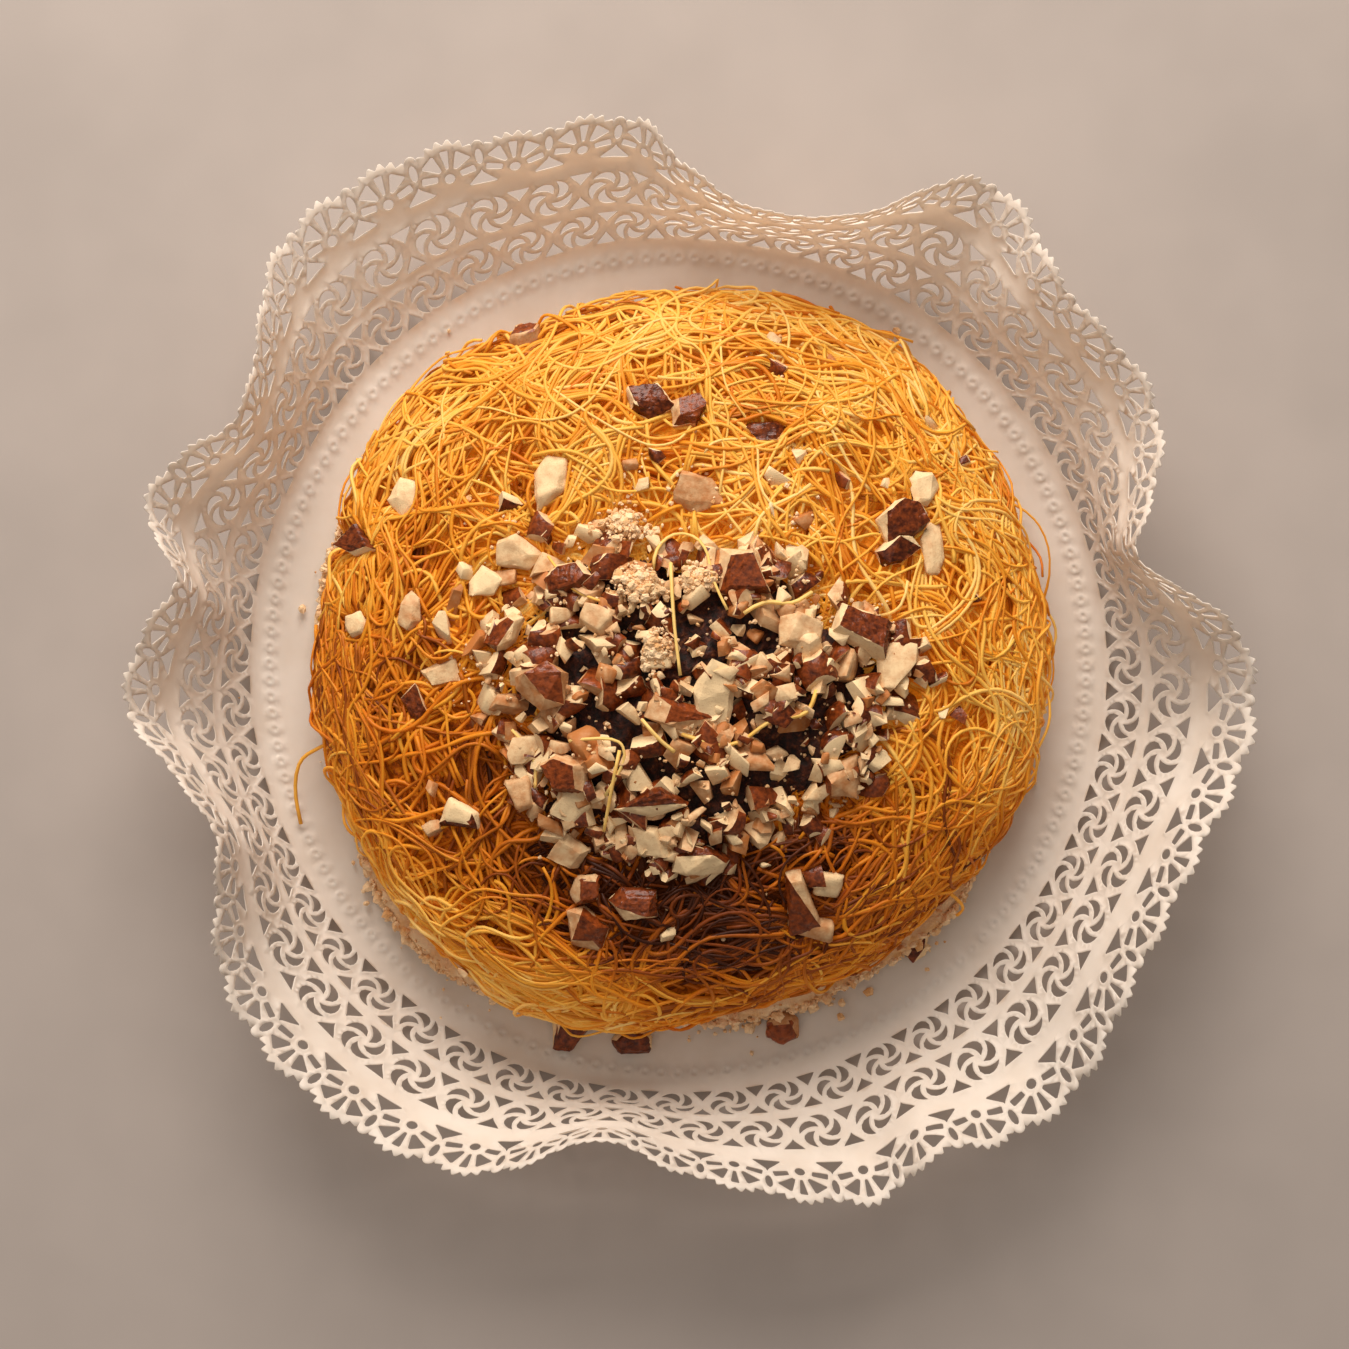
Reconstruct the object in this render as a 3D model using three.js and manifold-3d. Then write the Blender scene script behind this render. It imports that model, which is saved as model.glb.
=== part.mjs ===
// A tagliatelle cake: a low dome of fine baked pasta strands on a layer of ground almond, with a
// heap of chopped almonds on its crown, in the lace paper it is served in. Millimetres, +Z up.
// The origin is the centre of the lace paper's flat underside. Azimuths are degrees from +X.
import * as THREE from 'three';
import { ConvexGeometry } from 'three/addons/geometries/ConvexGeometry.js';
import { mergeVertices } from 'three/addons/utils/BufferGeometryUtils.js';
import Module from 'manifold-3d';

const wasm = await Module();
wasm.setup();

const GAP = 0.3; // between pieces that touch

// Lace paper: a stiff round doily, flat under the cake, with its lace band turned up and ruffled.
const PAPER_RADIUS = 175; // laid flat, to the tips of its scallops
const PAPER_FLAT_RADIUS = 116; // the part that lies flat
const PAPER_BEND = 16; // width of the band over which the paper turns up
const PAPER_THICKNESS = 0.8;
const PAPER_COLUMNS = 104;
const PAPER_BAND_RINGS = 5;
const EDGE_STEPS = 1440; // steps in which the ruffled edge is measured
// How far the band leans up from the flat, at each crest, shoulder and valley: [azimuth, degrees].
const PAPER_LEANS = [
  [3, 48], [12.5, 84], [20, 72], [26, 60], [32, 56], [39, 59], [46, 57], [52, 45], [58, 43],
  [67, 78], [80, 88], [89, 75], [94, 56], [107, 53], [116, 43], [132, 37], [143, 64], [151, 72],
  [159, 55], [164, 53], [170, 71], [178, 58], [185, 53], [190, 65], [200, 77], [208, 65], [213, 55],
  [220, 48], [232, 46], [241, 49], [249, 57], [260, 81], [271, 71], [278, 63], [285, 52], [291, 43],
  [298, 53], [305, 39], [312, 35], [325, 52], [340, 53], [350, 42], [356, 39],
];

// Cake: both layers share one squarish outline about a centre of their own.
const CAKE_CENTRE = new THREE.Vector2(-1, 0.5);
const CAKE_RADIUS = 104.5;
const CAKE_WAVES = [ // departures from round: [waves a turn, mm, azimuth of a crest]
  [2, 1.5, 68], [3, 0.7, 4], [4, 1.8, 54], [6, 0.7, 3],
];
const CRUMB_HEIGHT = 8; // layer of ground almond
const CRUMB_INSET = 3; // mm inside the pasta, except where it spills out
const CRUMB_SPILLS = [ // [azimuth, half width in degrees, mm]
  [166, 16, 5], [224, 22, 7], [286, 20, 6.5], [318, 14, 6],
];
const NEST_HEIGHT = 36; // dome of pasta, above the ground almond
const NEST_FULLNESS = 2.6; // 2 is an ellipsoid; more is flatter on top and steeper at the rim
const NEST_FOOT_INSET = 2.5; // the pasta curls in under its widest line
const NEST_BULGE = 5; // height of the widest line above the pasta's foot
const NEST_COLUMNS = 72;
const NEST_RINGS = 10;
const NEST_RING_CROWDING = 2.2; // how much closer together its rings are at the steep rim

// Heap of chopped almonds over the crown.
const HEAP_CENTRE = new THREE.Vector2(3, -9);
const HEAP_HALF_LENGTH = 62; // along X
const HEAP_HALF_WIDTH = 49; // along Y
const HEAP_HEIGHT = 9;
const HEAP_FULLNESS = 2.4; // 2 is a paraboloid; more is flatter on top
const HEAP_WAVES = [ // how its outline departs from an ellipse: [waves a turn, share, phase]
  [3, 0.07, 1], [7, 0.05, 0],
];
const HEAP_REACH = 1.12; // the solid runs past the outline, where it dips under the strands
const HEAP_COLUMNS = 36;
const HEAP_RINGS = 7;

// Larger pieces: [x, y, length, width, thickness, turn, tilt], with the turn from +X and the tilt
// away from the surface below, in degrees.
const BROWN_PIECES = [
  [-8, 73, 14.5, 10, 7, -25, 8], [3, 70, 10.5, 8, 6, 15, -6], [-43, 92, 9, 8, 6, 40, 0],
  [24, 65, 11.5, 6.5, 4, -12, 5], [62, 39, 15, 12.5, 8, -8, -10], [61, 32, 12.5, 8, 6, 20, 12],
  [-89, 34, 12.5, 8, 5, -30, 0], [-73, -11, 12.5, 8, 4.5, 84, 5], [-60, -43, 11.5, 9, 6, -25, 0],
  [33, -66, 19.5, 9.5, 5.5, -72, 6], [-25, -62, 10.5, 9, 6, 30, 0], [-12, -66, 14, 10.5, 7, -20, 0],
  [-26, -74, 14, 11.5, 6, -35, 8], [6, -54, 16, 9, 6, 8, 0], [-30, 24, 14, 9, 6, 10, -8],
  [-48, 9, 11.5, 9, 7, 60, 0], [-37, -6, 15, 12.5, 8, 15, 0], [17, 24, 18.5, 15, 8.5, -42, 12],
  [51, 10, 17, 11.5, 7, -25, -12], [0, -14, 18.5, 8.5, 5.5, -12, 8], [-8, -38, 21.5, 9, 6.5, 12, 6],
  [-31, -30, 15, 10.5, 7, -20, 0],
];
const PALE_PIECES = [
  [-76, 47, 11, 9, 3.5, 60, 8], [-36, 50, 17, 10, 5, 68, -8], [6, 47, 14, 11, 4.5, -22, 6],
  [68, 49, 10.5, 9, 5, 62, 0], [71, 32, 15, 8, 4, 86, 12], [-74, 15, 11, 6, 4.5, 80, 0],
  [-90, 11, 8, 7, 4, 20, 0], [-66, -2, 11, 7, 4, 10, 0], [46, -32, 12.5, 11, 6, 30, 0],
  [54, -26, 8.5, 7, 5, -20, 0], [42, -61, 10, 9, 4.5, 55, 4], [-44, 31, 13, 10, 4.5, -15, 6],
  [-54, 23, 10.5, 9, 5, 25, 0], [-22, 12, 10.5, 9, 5, -5, 0], [10, -8, 20, 12, 4.5, 84, 10],
  [33, 9, 13.5, 12, 6, 35, 8], [60, 0, 17, 10, 5, 58, -10], [-29, -39, 11.5, 10, 5, 40, 0],
  [-43, -35, 11.5, 11, 6, -30, 0], [-7, -49, 13, 10, 5, -28, 6], [-30, -51, 10.5, 9, 5, -20, 0],
];
const CRUMB_LUMPS = [
  [-16, 39, 17, 13, 5, 20, 0], [-10, 22, 20, 13, 5, -12, 0], [7, 23, 12, 13, 5, 70, 0],
  [-5, 5, 20, 9, 6, 76, 0],
];
const FALLEN_PIECES = [ // beside the cake, flat on the paper
  [-31, -106.5, 12, 10, 6, 15, 0], [-13.5, -108, 12, 9, 6, 5, 0], [30.5, -105, 10, 10, 6, -40, 0],
  [69, -80, 11, 9, 3.5, 40, 0],
];
const PIECE_SINK = 0.3; // share of its thickness by which a piece sits down among the strands
const PIECE_ROOM = 0.8; // kept free round a piece, more than the gap so that its corners clear too
const FIRST_SEEDS = { // each piece's shape comes from its family's first seed and its own number
  crumb_lump: 100, almond_pale: 200, almond_brown: 300, almond_fallen: 400,
};

const COLOURS = {
  paper: { color: 0xf0e4d6, roughness: 0.75, metalness: 0 },
  crumb: { color: 0xd9b98a, roughness: 0.9, metalness: 0 },
  pasta: { color: 0xdd8d1e, roughness: 0.5, metalness: 0 },
  almond: { color: 0xe3c9a0, roughness: 0.65, metalness: 0 },
  skin: { color: 0x6b3312, roughness: 0.55, metalness: 0 },
};

const radians = THREE.MathUtils.degToRad;

// Numbers between 0 and 1 that are the same on every run.
function seededRandom(seed) {
  let state = seed;
  return () => {
    state = (state * 1664525 + 1013904223) % 4294967296;
    return state / 4294967296;
  };
}

// A smooth closed curve through [degrees, value] pairs, as a function of degrees.
function roundTheTurn(pairs) {
  const count = pairs.length;
  const pair = (index) => {
    const turns = Math.floor(index / count);
    const [degrees, value] = pairs[index - turns * count];
    return [degrees + 360 * turns, value];
  };
  const slope = (index) => {
    const [before, after] = [pair(index - 1), pair(index + 1)];
    return (after[1] - before[1]) / (after[0] - before[0]);
  };
  return (degrees) => {
    const wrapped = THREE.MathUtils.euclideanModulo(degrees - pairs[0][0], 360) + pairs[0][0];
    let index = 0;
    while (pair(index + 1)[0] <= wrapped) index++;
    const [[start, from], [end, to]] = [pair(index), pair(index + 1)];
    const span = end - start;
    const t = (wrapped - start) / span;
    return from * (1 + 2 * t) * (1 - t) ** 2 + to * t * t * (3 - 2 * t)
      + span * t * (1 - t) * (slope(index) * (1 - t) - slope(index + 1) * t);
  };
}

// A closed body from rings of points that run outward over the top and back in underneath.
// From ring turnRing on the squares are split the other way, so that a thin body's faces match.
function bodyOfRings(apex, rings, base, turnRing = rings.length) {
  const columns = rings[0].length;
  const points = [apex, ...rings.flat(), base];
  const at = (ring, column) => 1 + ring * columns + (column % columns);
  const faces = [];
  for (let column = 0; column < columns; column++) {
    const next = column + 1;
    faces.push(0, at(0, column), at(0, next));
    for (let ring = 0; ring + 1 < rings.length; ring++) {
      const [a, b] = [at(ring, column), at(ring, next)];
      const [d, c] = [at(ring + 1, column), at(ring + 1, next)];
      if (ring < turnRing) faces.push(a, d, c, a, c, b);
      else faces.push(a, d, b, b, d, c);
    }
    faces.push(at(rings.length - 1, column), points.length - 1, at(rings.length - 1, next));
  }
  const geometry = new THREE.BufferGeometry().setFromPoints(points);
  geometry.setIndex(faces);
  return geometry;
}

function toSolid(geometry) {
  const bare = geometry.clone();
  bare.deleteAttribute('normal');
  bare.deleteAttribute('uv');
  const merged = mergeVertices(bare, 1e-4);
  const vertProperties = new Float32Array(merged.attributes.position.array);
  const triVerts = new Uint32Array(merged.index.array);
  return new wasm.Manifold(new wasm.Mesh({ numProp: 3, vertProperties, triVerts }));
}

function toGeometry(solid) {
  const { vertProperties, triVerts } = solid.getMesh();
  const geometry = new THREE.BufferGeometry();
  geometry.setAttribute('position', new THREE.BufferAttribute(new Float32Array(vertProperties), 3));
  geometry.setIndex([...triVerts]);
  return geometry;
}

// What is left of a geometry outside its neighbours: the largest body of it.
function cutClear(geometry, neighbours) {
  const left = neighbours.reduce((solid, other) => solid.subtract(other), toSolid(geometry));
  const [largest] = left.decompose().sort((a, b) => b.volume() - a.volume());
  return toGeometry(largest);
}

function namedMesh(name, geometry, finish) {
  const shown = geometry.toNonIndexed();
  shown.computeVertexNormals();
  const mesh = new THREE.Mesh(shown, new THREE.MeshStandardMaterial(COLOURS[finish]));
  mesh.name = name;
  return mesh;
}

// ---- Lace paper ----

const leanAt = roundTheTurn(PAPER_LEANS);

// Reach from the centre and rise of a point of the band: an arc, then straight up at the lean.
function bandProfile(flatRadius, lean) {
  const along = Math.max(flatRadius - PAPER_FLAT_RADIUS, 0);
  const arc = Math.min(along, PAPER_BEND);
  const arcRadius = PAPER_BEND / lean;
  const straight = along - arc;
  return {
    reach: Math.min(flatRadius, PAPER_FLAT_RADIUS) + arcRadius * Math.sin(arc / arcRadius)
      + straight * Math.cos(lean),
    rise: arcRadius * (1 - Math.cos(arc / arcRadius)) + straight * Math.sin(lean),
  };
}

function edgePoint(degrees) {
  const { reach, rise } = bandProfile(PAPER_RADIUS, radians(leanAt(degrees)));
  const azimuth = radians(degrees);
  return new THREE.Vector3(reach * Math.cos(azimuth), reach * Math.sin(azimuth), rise);
}

// The edge's azimuth in the ruffles for an even step along the paper's edge, since paper
// doesn't stretch.
function evenEdge(steps) {
  const lengths = [0];
  for (let step = 1; step <= steps; step++) {
    const [before, after] = [edgePoint((step - 1) * 360 / steps), edgePoint(step * 360 / steps)];
    lengths.push(lengths[step - 1] + before.distanceTo(after));
  }
  return (degrees) => {
    const share = THREE.MathUtils.euclideanModulo(degrees, 360) / 360 * lengths[steps];
    let step = 0;
    while (lengths[step + 1] < share) step++;
    const within = (share - lengths[step]) / (lengths[step + 1] - lengths[step]);
    return (step + within) * 360 / steps + 360 * Math.floor(degrees / 360);
  };
}

const ruffledAzimuth = evenEdge(EDGE_STEPS);

// Where a point of the flat paper lies once its band is ruffled.
function paperPoint(flatRadius, degrees) {
  const edgeDegrees = ruffledAzimuth(degrees);
  const { reach, rise } = bandProfile(flatRadius, radians(leanAt(edgeDegrees)));
  const along = (flatRadius - PAPER_FLAT_RADIUS) / (PAPER_RADIUS - PAPER_FLAT_RADIUS);
  const azimuth = radians(THREE.MathUtils.lerp(degrees, edgeDegrees, Math.max(along, 0)));
  return new THREE.Vector3(reach * Math.cos(azimuth), reach * Math.sin(azimuth), rise);
}

function paperNormal(flatRadius, degrees) {
  const step = 0.05;
  const outward = paperPoint(flatRadius + step, degrees).sub(paperPoint(flatRadius - step, degrees));
  const around = paperPoint(flatRadius, degrees + step).sub(paperPoint(flatRadius, degrees - step));
  return outward.cross(around).normalize();
}

function lacePaper() {
  const ringAt = (flatRadius, lift) => Array.from({ length: PAPER_COLUMNS }, (_, column) => {
    const degrees = column * 360 / PAPER_COLUMNS;
    const normal = paperNormal(flatRadius, degrees);
    return paperPoint(flatRadius, degrees).addScaledVector(normal, lift);
  });
  const radii = Array.from({ length: PAPER_BAND_RINGS + 1 }, (_, ring) => (
    THREE.MathUtils.lerp(PAPER_FLAT_RADIUS, PAPER_RADIUS, ring / PAPER_BAND_RINGS)
  ));
  const upper = radii.map((radius) => ringAt(radius, PAPER_THICKNESS));
  const lower = radii.map((radius) => ringAt(radius, 0)).reverse();
  const apex = new THREE.Vector3(0, 0, PAPER_THICKNESS);
  return bodyOfRings(apex, [...upper, ...lower], new THREE.Vector3(), upper.length);
}

// ---- Cake layers ----

function cakeRadius(degrees) {
  return CAKE_WAVES.reduce(
    (radius, [waves, size, crest]) => radius + size * Math.cos(waves * radians(degrees - crest)),
    CAKE_RADIUS,
  );
}

function crumbRadius(degrees) {
  return CRUMB_SPILLS.reduce((radius, [azimuth, halfWidth, size]) => {
    const away = THREE.MathUtils.euclideanModulo(degrees - azimuth + 180, 360) - 180;
    return radius + size * Math.exp(-((away / halfWidth) ** 2));
  }, cakeRadius(degrees) - CRUMB_INSET);
}

const CRUMB_FLOOR = PAPER_THICKNESS + GAP;
const NEST_FLOOR = CRUMB_FLOOR + CRUMB_HEIGHT + GAP;

// Points around a centre: radiusAt and heightAt are functions of the azimuth in degrees.
function ringOf(columns, centre, radiusAt, heightAt) {
  return Array.from({ length: columns }, (_, column) => {
    const degrees = column * 360 / columns;
    const azimuth = radians(degrees);
    const radius = radiusAt(degrees);
    const x = centre.x + radius * Math.cos(azimuth);
    const y = centre.y + radius * Math.sin(azimuth);
    return new THREE.Vector3(x, y, heightAt(x, y));
  });
}

function crumbBase() {
  const profile = [ // [inset from the outline, height above the paper's face]
    [12, CRUMB_HEIGHT], [3, CRUMB_HEIGHT], [0.6, CRUMB_HEIGHT - 2.5], [0, 3], [1.2, 0],
  ];
  const rings = profile.map(([inset, height]) => ringOf(
    NEST_COLUMNS,
    CAKE_CENTRE,
    (degrees) => crumbRadius(degrees) - inset,
    () => CRUMB_FLOOR + height,
  ));
  const apex = new THREE.Vector3(CAKE_CENTRE.x, CAKE_CENTRE.y, CRUMB_FLOOR + CRUMB_HEIGHT);
  return bodyOfRings(apex, rings, new THREE.Vector3(CAKE_CENTRE.x, CAKE_CENTRE.y, CRUMB_FLOOR));
}

// Low swells where the strands lie in bundles.
function nestSwell(x, y) {
  return 0.9 * Math.sin(x / 15 + 0.8) * Math.sin(y / 13 - 0.4)
    + 0.6 * Math.sin((x + 1.6 * y) / 11) + 0.5 * Math.sin((1.4 * x - y) / 8.5 + 2);
}

// Height of the pasta over a point; grow lifts and widens the whole dome.
function nestHeight(x, y, grow = 0) {
  const dx = x - CAKE_CENTRE.x;
  const dy = y - CAKE_CENTRE.y;
  const radius = cakeRadius(THREE.MathUtils.radToDeg(Math.atan2(dy, dx))) + grow;
  const share = Math.min(Math.hypot(dx, dy) / radius, 1);
  const dome = Math.sqrt(1 - share ** NEST_FULLNESS);
  const height = NEST_BULGE + (NEST_HEIGHT - NEST_BULGE) * dome + nestSwell(x, y) * (1 - share ** 4);
  return NEST_FLOOR + height + grow;
}

function noodleNest(grow = 0) {
  const shares = Array.from({ length: NEST_RINGS }, (_, ring) => (
    1 - (1 - (ring + 1) / NEST_RINGS) ** NEST_RING_CROWDING
  ));
  const rings = shares.map((share) => ringOf(
    NEST_COLUMNS,
    CAKE_CENTRE,
    (degrees) => share * (cakeRadius(degrees) + grow),
    (x, y) => nestHeight(x, y, grow),
  ));
  rings.push(ringOf(
    NEST_COLUMNS,
    CAKE_CENTRE,
    (degrees) => cakeRadius(degrees) + grow - NEST_FOOT_INSET,
    () => NEST_FLOOR - grow,
  ));
  const { x, y } = CAKE_CENTRE;
  const base = new THREE.Vector3(x, y, NEST_FLOOR - grow);
  return bodyOfRings(new THREE.Vector3(x, y, nestHeight(x, y, grow)), rings, base);
}

// ---- Chopped almonds ----

// Share of the heap's height over a point: 1 at its middle, below 0 outside its ragged outline.
function heapShare(x, y) {
  const dx = (x - HEAP_CENTRE.x) / HEAP_HALF_LENGTH;
  const dy = (y - HEAP_CENTRE.y) / HEAP_HALF_WIDTH;
  const azimuth = Math.atan2(dy, dx);
  const ragged = HEAP_WAVES.reduce(
    (total, [waves, share, phase]) => total + share * Math.sin(waves * azimuth + phase),
    1,
  );
  return 1 - (Math.hypot(dx, dy) / ragged) ** HEAP_FULLNESS;
}

function heapHeight(x, y, grow = 0) {
  const lumps = 0.9 * Math.sin(x / 5.2) * Math.sin(y / 4.7 + 1) + 0.6 * Math.sin((x - y) / 7.5);
  const share = heapShare(x, y);
  return nestHeight(x, y) + HEAP_HEIGHT * share + lumps * Math.max(share, 0) + grow;
}

function almondHeap(grow = 0) {
  const rings = Array.from({ length: HEAP_RINGS }, (_, ring) => {
    const share = HEAP_REACH * (ring + 1) / HEAP_RINGS;
    const radiusAt = (degrees) => {
      const azimuth = radians(degrees);
      return share / Math.hypot(Math.cos(azimuth) / HEAP_HALF_LENGTH, Math.sin(azimuth) / HEAP_HALF_WIDTH);
    };
    return ringOf(HEAP_COLUMNS, HEAP_CENTRE, radiusAt, (x, y) => heapHeight(x, y, grow));
  });
  const { x, y } = HEAP_CENTRE;
  const deep = new THREE.Vector3(x, y, NEST_FLOOR);
  return bodyOfRings(new THREE.Vector3(x, y, heapHeight(x, y, grow)), rings, deep);
}

// A chopped piece in its own axes: a slab of three to six uneven corners, split off aslant, so that
// its upper outline is smaller than its lower one and lies to one side. It fills its stated size.
function choppedPiece([, , length, width, thickness], seed) {
  const random = seededRandom(seed);
  const wander = (reach) => reach * (2 * random() - 1);
  wander(1);
  const sides = 3 + Math.floor(1 + 3 * random());
  const start = random();
  const taper = 0.62 + 0.3 * random();
  const slant = new THREE.Vector3(wander(0.12), wander(0.12), 0);
  const points = [];
  for (let side = 0; side < sides; side++) {
    const azimuth = (side + start + wander(0.3)) * 2 * Math.PI / sides;
    const corner = new THREE.Vector3(Math.cos(azimuth), Math.sin(azimuth), 0);
    corner.multiplyScalar(0.5 + wander(0.09));
    points.push(corner.clone().setZ(-0.5 + 0.14 * random()));
    points.push(corner.clone().multiplyScalar(1.03 + wander(0.05)).setZ(wander(0.1)));
    points.push(corner.clone().multiplyScalar(taper + wander(0.12)).add(slant).setZ(0.5 - 0.3 * random()));
  }
  const extent = new THREE.Box3().setFromPoints(points);
  const fit = new THREE.Vector3(length, width, thickness).divide(extent.getSize(new THREE.Vector3()));
  const middle = extent.getCenter(new THREE.Vector3());
  return points.map((point) => point.sub(middle).multiply(fit));
}

// Position and rotation of a piece lying on a surface given by its height over x and y.
function seatOf([x, y, , , thickness, turn, tilt], surface, sink) {
  const step = 4;
  const normal = new THREE.Vector3(
    surface(x - step, y) - surface(x + step, y),
    surface(x, y - step) - surface(x, y + step),
    2 * step,
  ).normalize();
  const up = new THREE.Vector3(0, 0, 1);
  const rotation = new THREE.Quaternion().setFromUnitVectors(up, normal);
  rotation.multiply(new THREE.Quaternion().setFromAxisAngle(up, radians(turn)));
  rotation.multiply(new THREE.Quaternion().setFromAxisAngle(new THREE.Vector3(1, 0, 0), radians(tilt)));
  const position = new THREE.Vector3(x, y, surface(x, y));
  position.addScaledVector(normal, thickness * (0.5 - sink));
  return new THREE.Matrix4().compose(position, rotation, new THREE.Vector3(1, 1, 1));
}

// Lays the listed pieces on a surface one by one, each cut clear of what is already there.
function layPieces(family, finish, pieces, surface, sink, laid) {
  const group = new THREE.Group();
  pieces.forEach((piece, index) => {
    const local = choppedPiece(piece, FIRST_SEEDS[family] + index);
    const seat = seatOf(piece, surface, sink);
    const placed = local.map((point) => point.clone().applyMatrix4(seat));
    const room = new THREE.Vector3(...piece.slice(2, 5).map((size) => 1 + PIECE_ROOM / size));
    const padded = local.map((point) => point.clone().multiply(room).applyMatrix4(seat));
    const geometry = cutClear(new ConvexGeometry(placed), laid);
    const position = new THREE.Vector3().setFromMatrixPosition(seat);
    geometry.translate(-position.x, -position.y, -position.z);
    const mesh = namedMesh(`${family}_${String(index + 1).padStart(2, '0')}`, geometry, finish);
    mesh.position.copy(position);
    group.add(mesh);
    laid.push(toSolid(new ConvexGeometry(padded)));
  });
  return group;
}

// ---- The whole cake ----

function tagliatelleCake() {
  const cake = new THREE.Group();
  cake.add(namedMesh('lace_paper', lacePaper(), 'paper'));
  cake.add(namedMesh('crumb_base', crumbBase(), 'crumb'));
  cake.add(namedMesh('noodle_nest', noodleNest(), 'pasta'));

  const paddedNest = toSolid(noodleNest(GAP));
  const heap = cutClear(almondHeap(), [paddedNest]);
  const paddedHeap = toSolid(almondHeap(GAP));
  const laid = [paddedNest, paddedHeap];
  const surface = (x, y) => Math.max(nestHeight(x, y), heapHeight(x, y));
  cake.add(namedMesh('almond_heap', heap, 'almond'));
  cake.add(layPieces('crumb_lump', 'crumb', CRUMB_LUMPS, surface, PIECE_SINK, laid));
  cake.add(layPieces('almond_pale', 'almond', PALE_PIECES, surface, PIECE_SINK, laid));
  cake.add(layPieces('almond_brown', 'skin', BROWN_PIECES, surface, PIECE_SINK, laid));

  const paperFace = () => PAPER_THICKNESS + GAP;
  const cakeFoot = [toSolid(crumbBase()), paddedNest];
  cake.add(layPieces('almond_fallen', 'skin', FALLEN_PIECES, paperFace, 0, cakeFoot));
  return cake;
}

export default tagliatelleCake();
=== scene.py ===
"""Looks of a tagliatelle cake with chopped almonds in its lace paper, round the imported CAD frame.

Sizes are written in millimetres and turned into metres where a mesh is made. Azimuths are degrees
from +X, counter-clockwise seen from above.
"""

import sys

import logging
import math
from dataclasses import dataclass, field
from enum import Enum
from typing import Callable, Sequence, Union

import bmesh
import bpy
import numpy as np
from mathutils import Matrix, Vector
from mathutils.geometry import convex_hull_2d, delaunay_2d_cdt


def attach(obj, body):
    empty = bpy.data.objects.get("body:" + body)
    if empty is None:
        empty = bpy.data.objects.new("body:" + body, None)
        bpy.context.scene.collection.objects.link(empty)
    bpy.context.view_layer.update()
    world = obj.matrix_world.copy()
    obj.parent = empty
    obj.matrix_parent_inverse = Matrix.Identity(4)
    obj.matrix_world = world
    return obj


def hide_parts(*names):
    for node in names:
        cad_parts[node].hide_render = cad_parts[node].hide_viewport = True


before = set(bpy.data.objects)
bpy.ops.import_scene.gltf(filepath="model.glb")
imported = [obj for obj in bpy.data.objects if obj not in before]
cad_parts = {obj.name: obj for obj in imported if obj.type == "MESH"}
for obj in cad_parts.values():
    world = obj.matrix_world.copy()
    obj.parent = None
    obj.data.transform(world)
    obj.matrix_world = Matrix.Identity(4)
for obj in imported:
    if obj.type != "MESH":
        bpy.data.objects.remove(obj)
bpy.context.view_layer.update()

LOG = logging.getLogger("cake")
MM = 0.001
BODY = "root"  # what every piece rides on
GAP = 0.3  # between the cake's layers, in millimetres
FULL_TURN = 2 * math.pi

Colour = tuple[float, float, float]
Array = np.ndarray


# ---- Shader maths ----


class Socket:
    """A shader value or colour that Python arithmetic can be done on."""

    def __init__(self, recipe: "Recipe", output: bpy.types.NodeSocket) -> None:
        """Keeps the node output and the recipe it belongs to."""
        self.recipe = recipe
        self.output = output

    def _maths(self, operation: str, first: "Value", second: "Value") -> "Socket":
        """Adds one Math node."""
        return self.recipe.add("ShaderNodeMath", {"operation": operation}, {0: first, 1: second})

    def __add__(self, other: "Value") -> "Socket":
        """self + other"""
        return self._maths("ADD", self, other)

    __radd__ = __add__

    def __sub__(self, other: "Value") -> "Socket":
        """self - other"""
        return self._maths("SUBTRACT", self, other)

    def __rsub__(self, other: "Value") -> "Socket":
        """other - self"""
        return self._maths("SUBTRACT", other, self)

    def __mul__(self, other: "Value") -> "Socket":
        """self * other"""
        return self._maths("MULTIPLY", self, other)

    __rmul__ = __mul__

    def step(self, low: float, high: float) -> "Socket":
        """A soft step from 0 at low to 1 at high."""
        settings = {"interpolation_type": "SMOOTHSTEP"}
        return self.recipe.add("ShaderNodeMapRange", settings, {0: self, 1: low, 2: high, 3: 0.0, 4: 1.0})


Value = Union[Socket, float, Sequence[float]]


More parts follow.
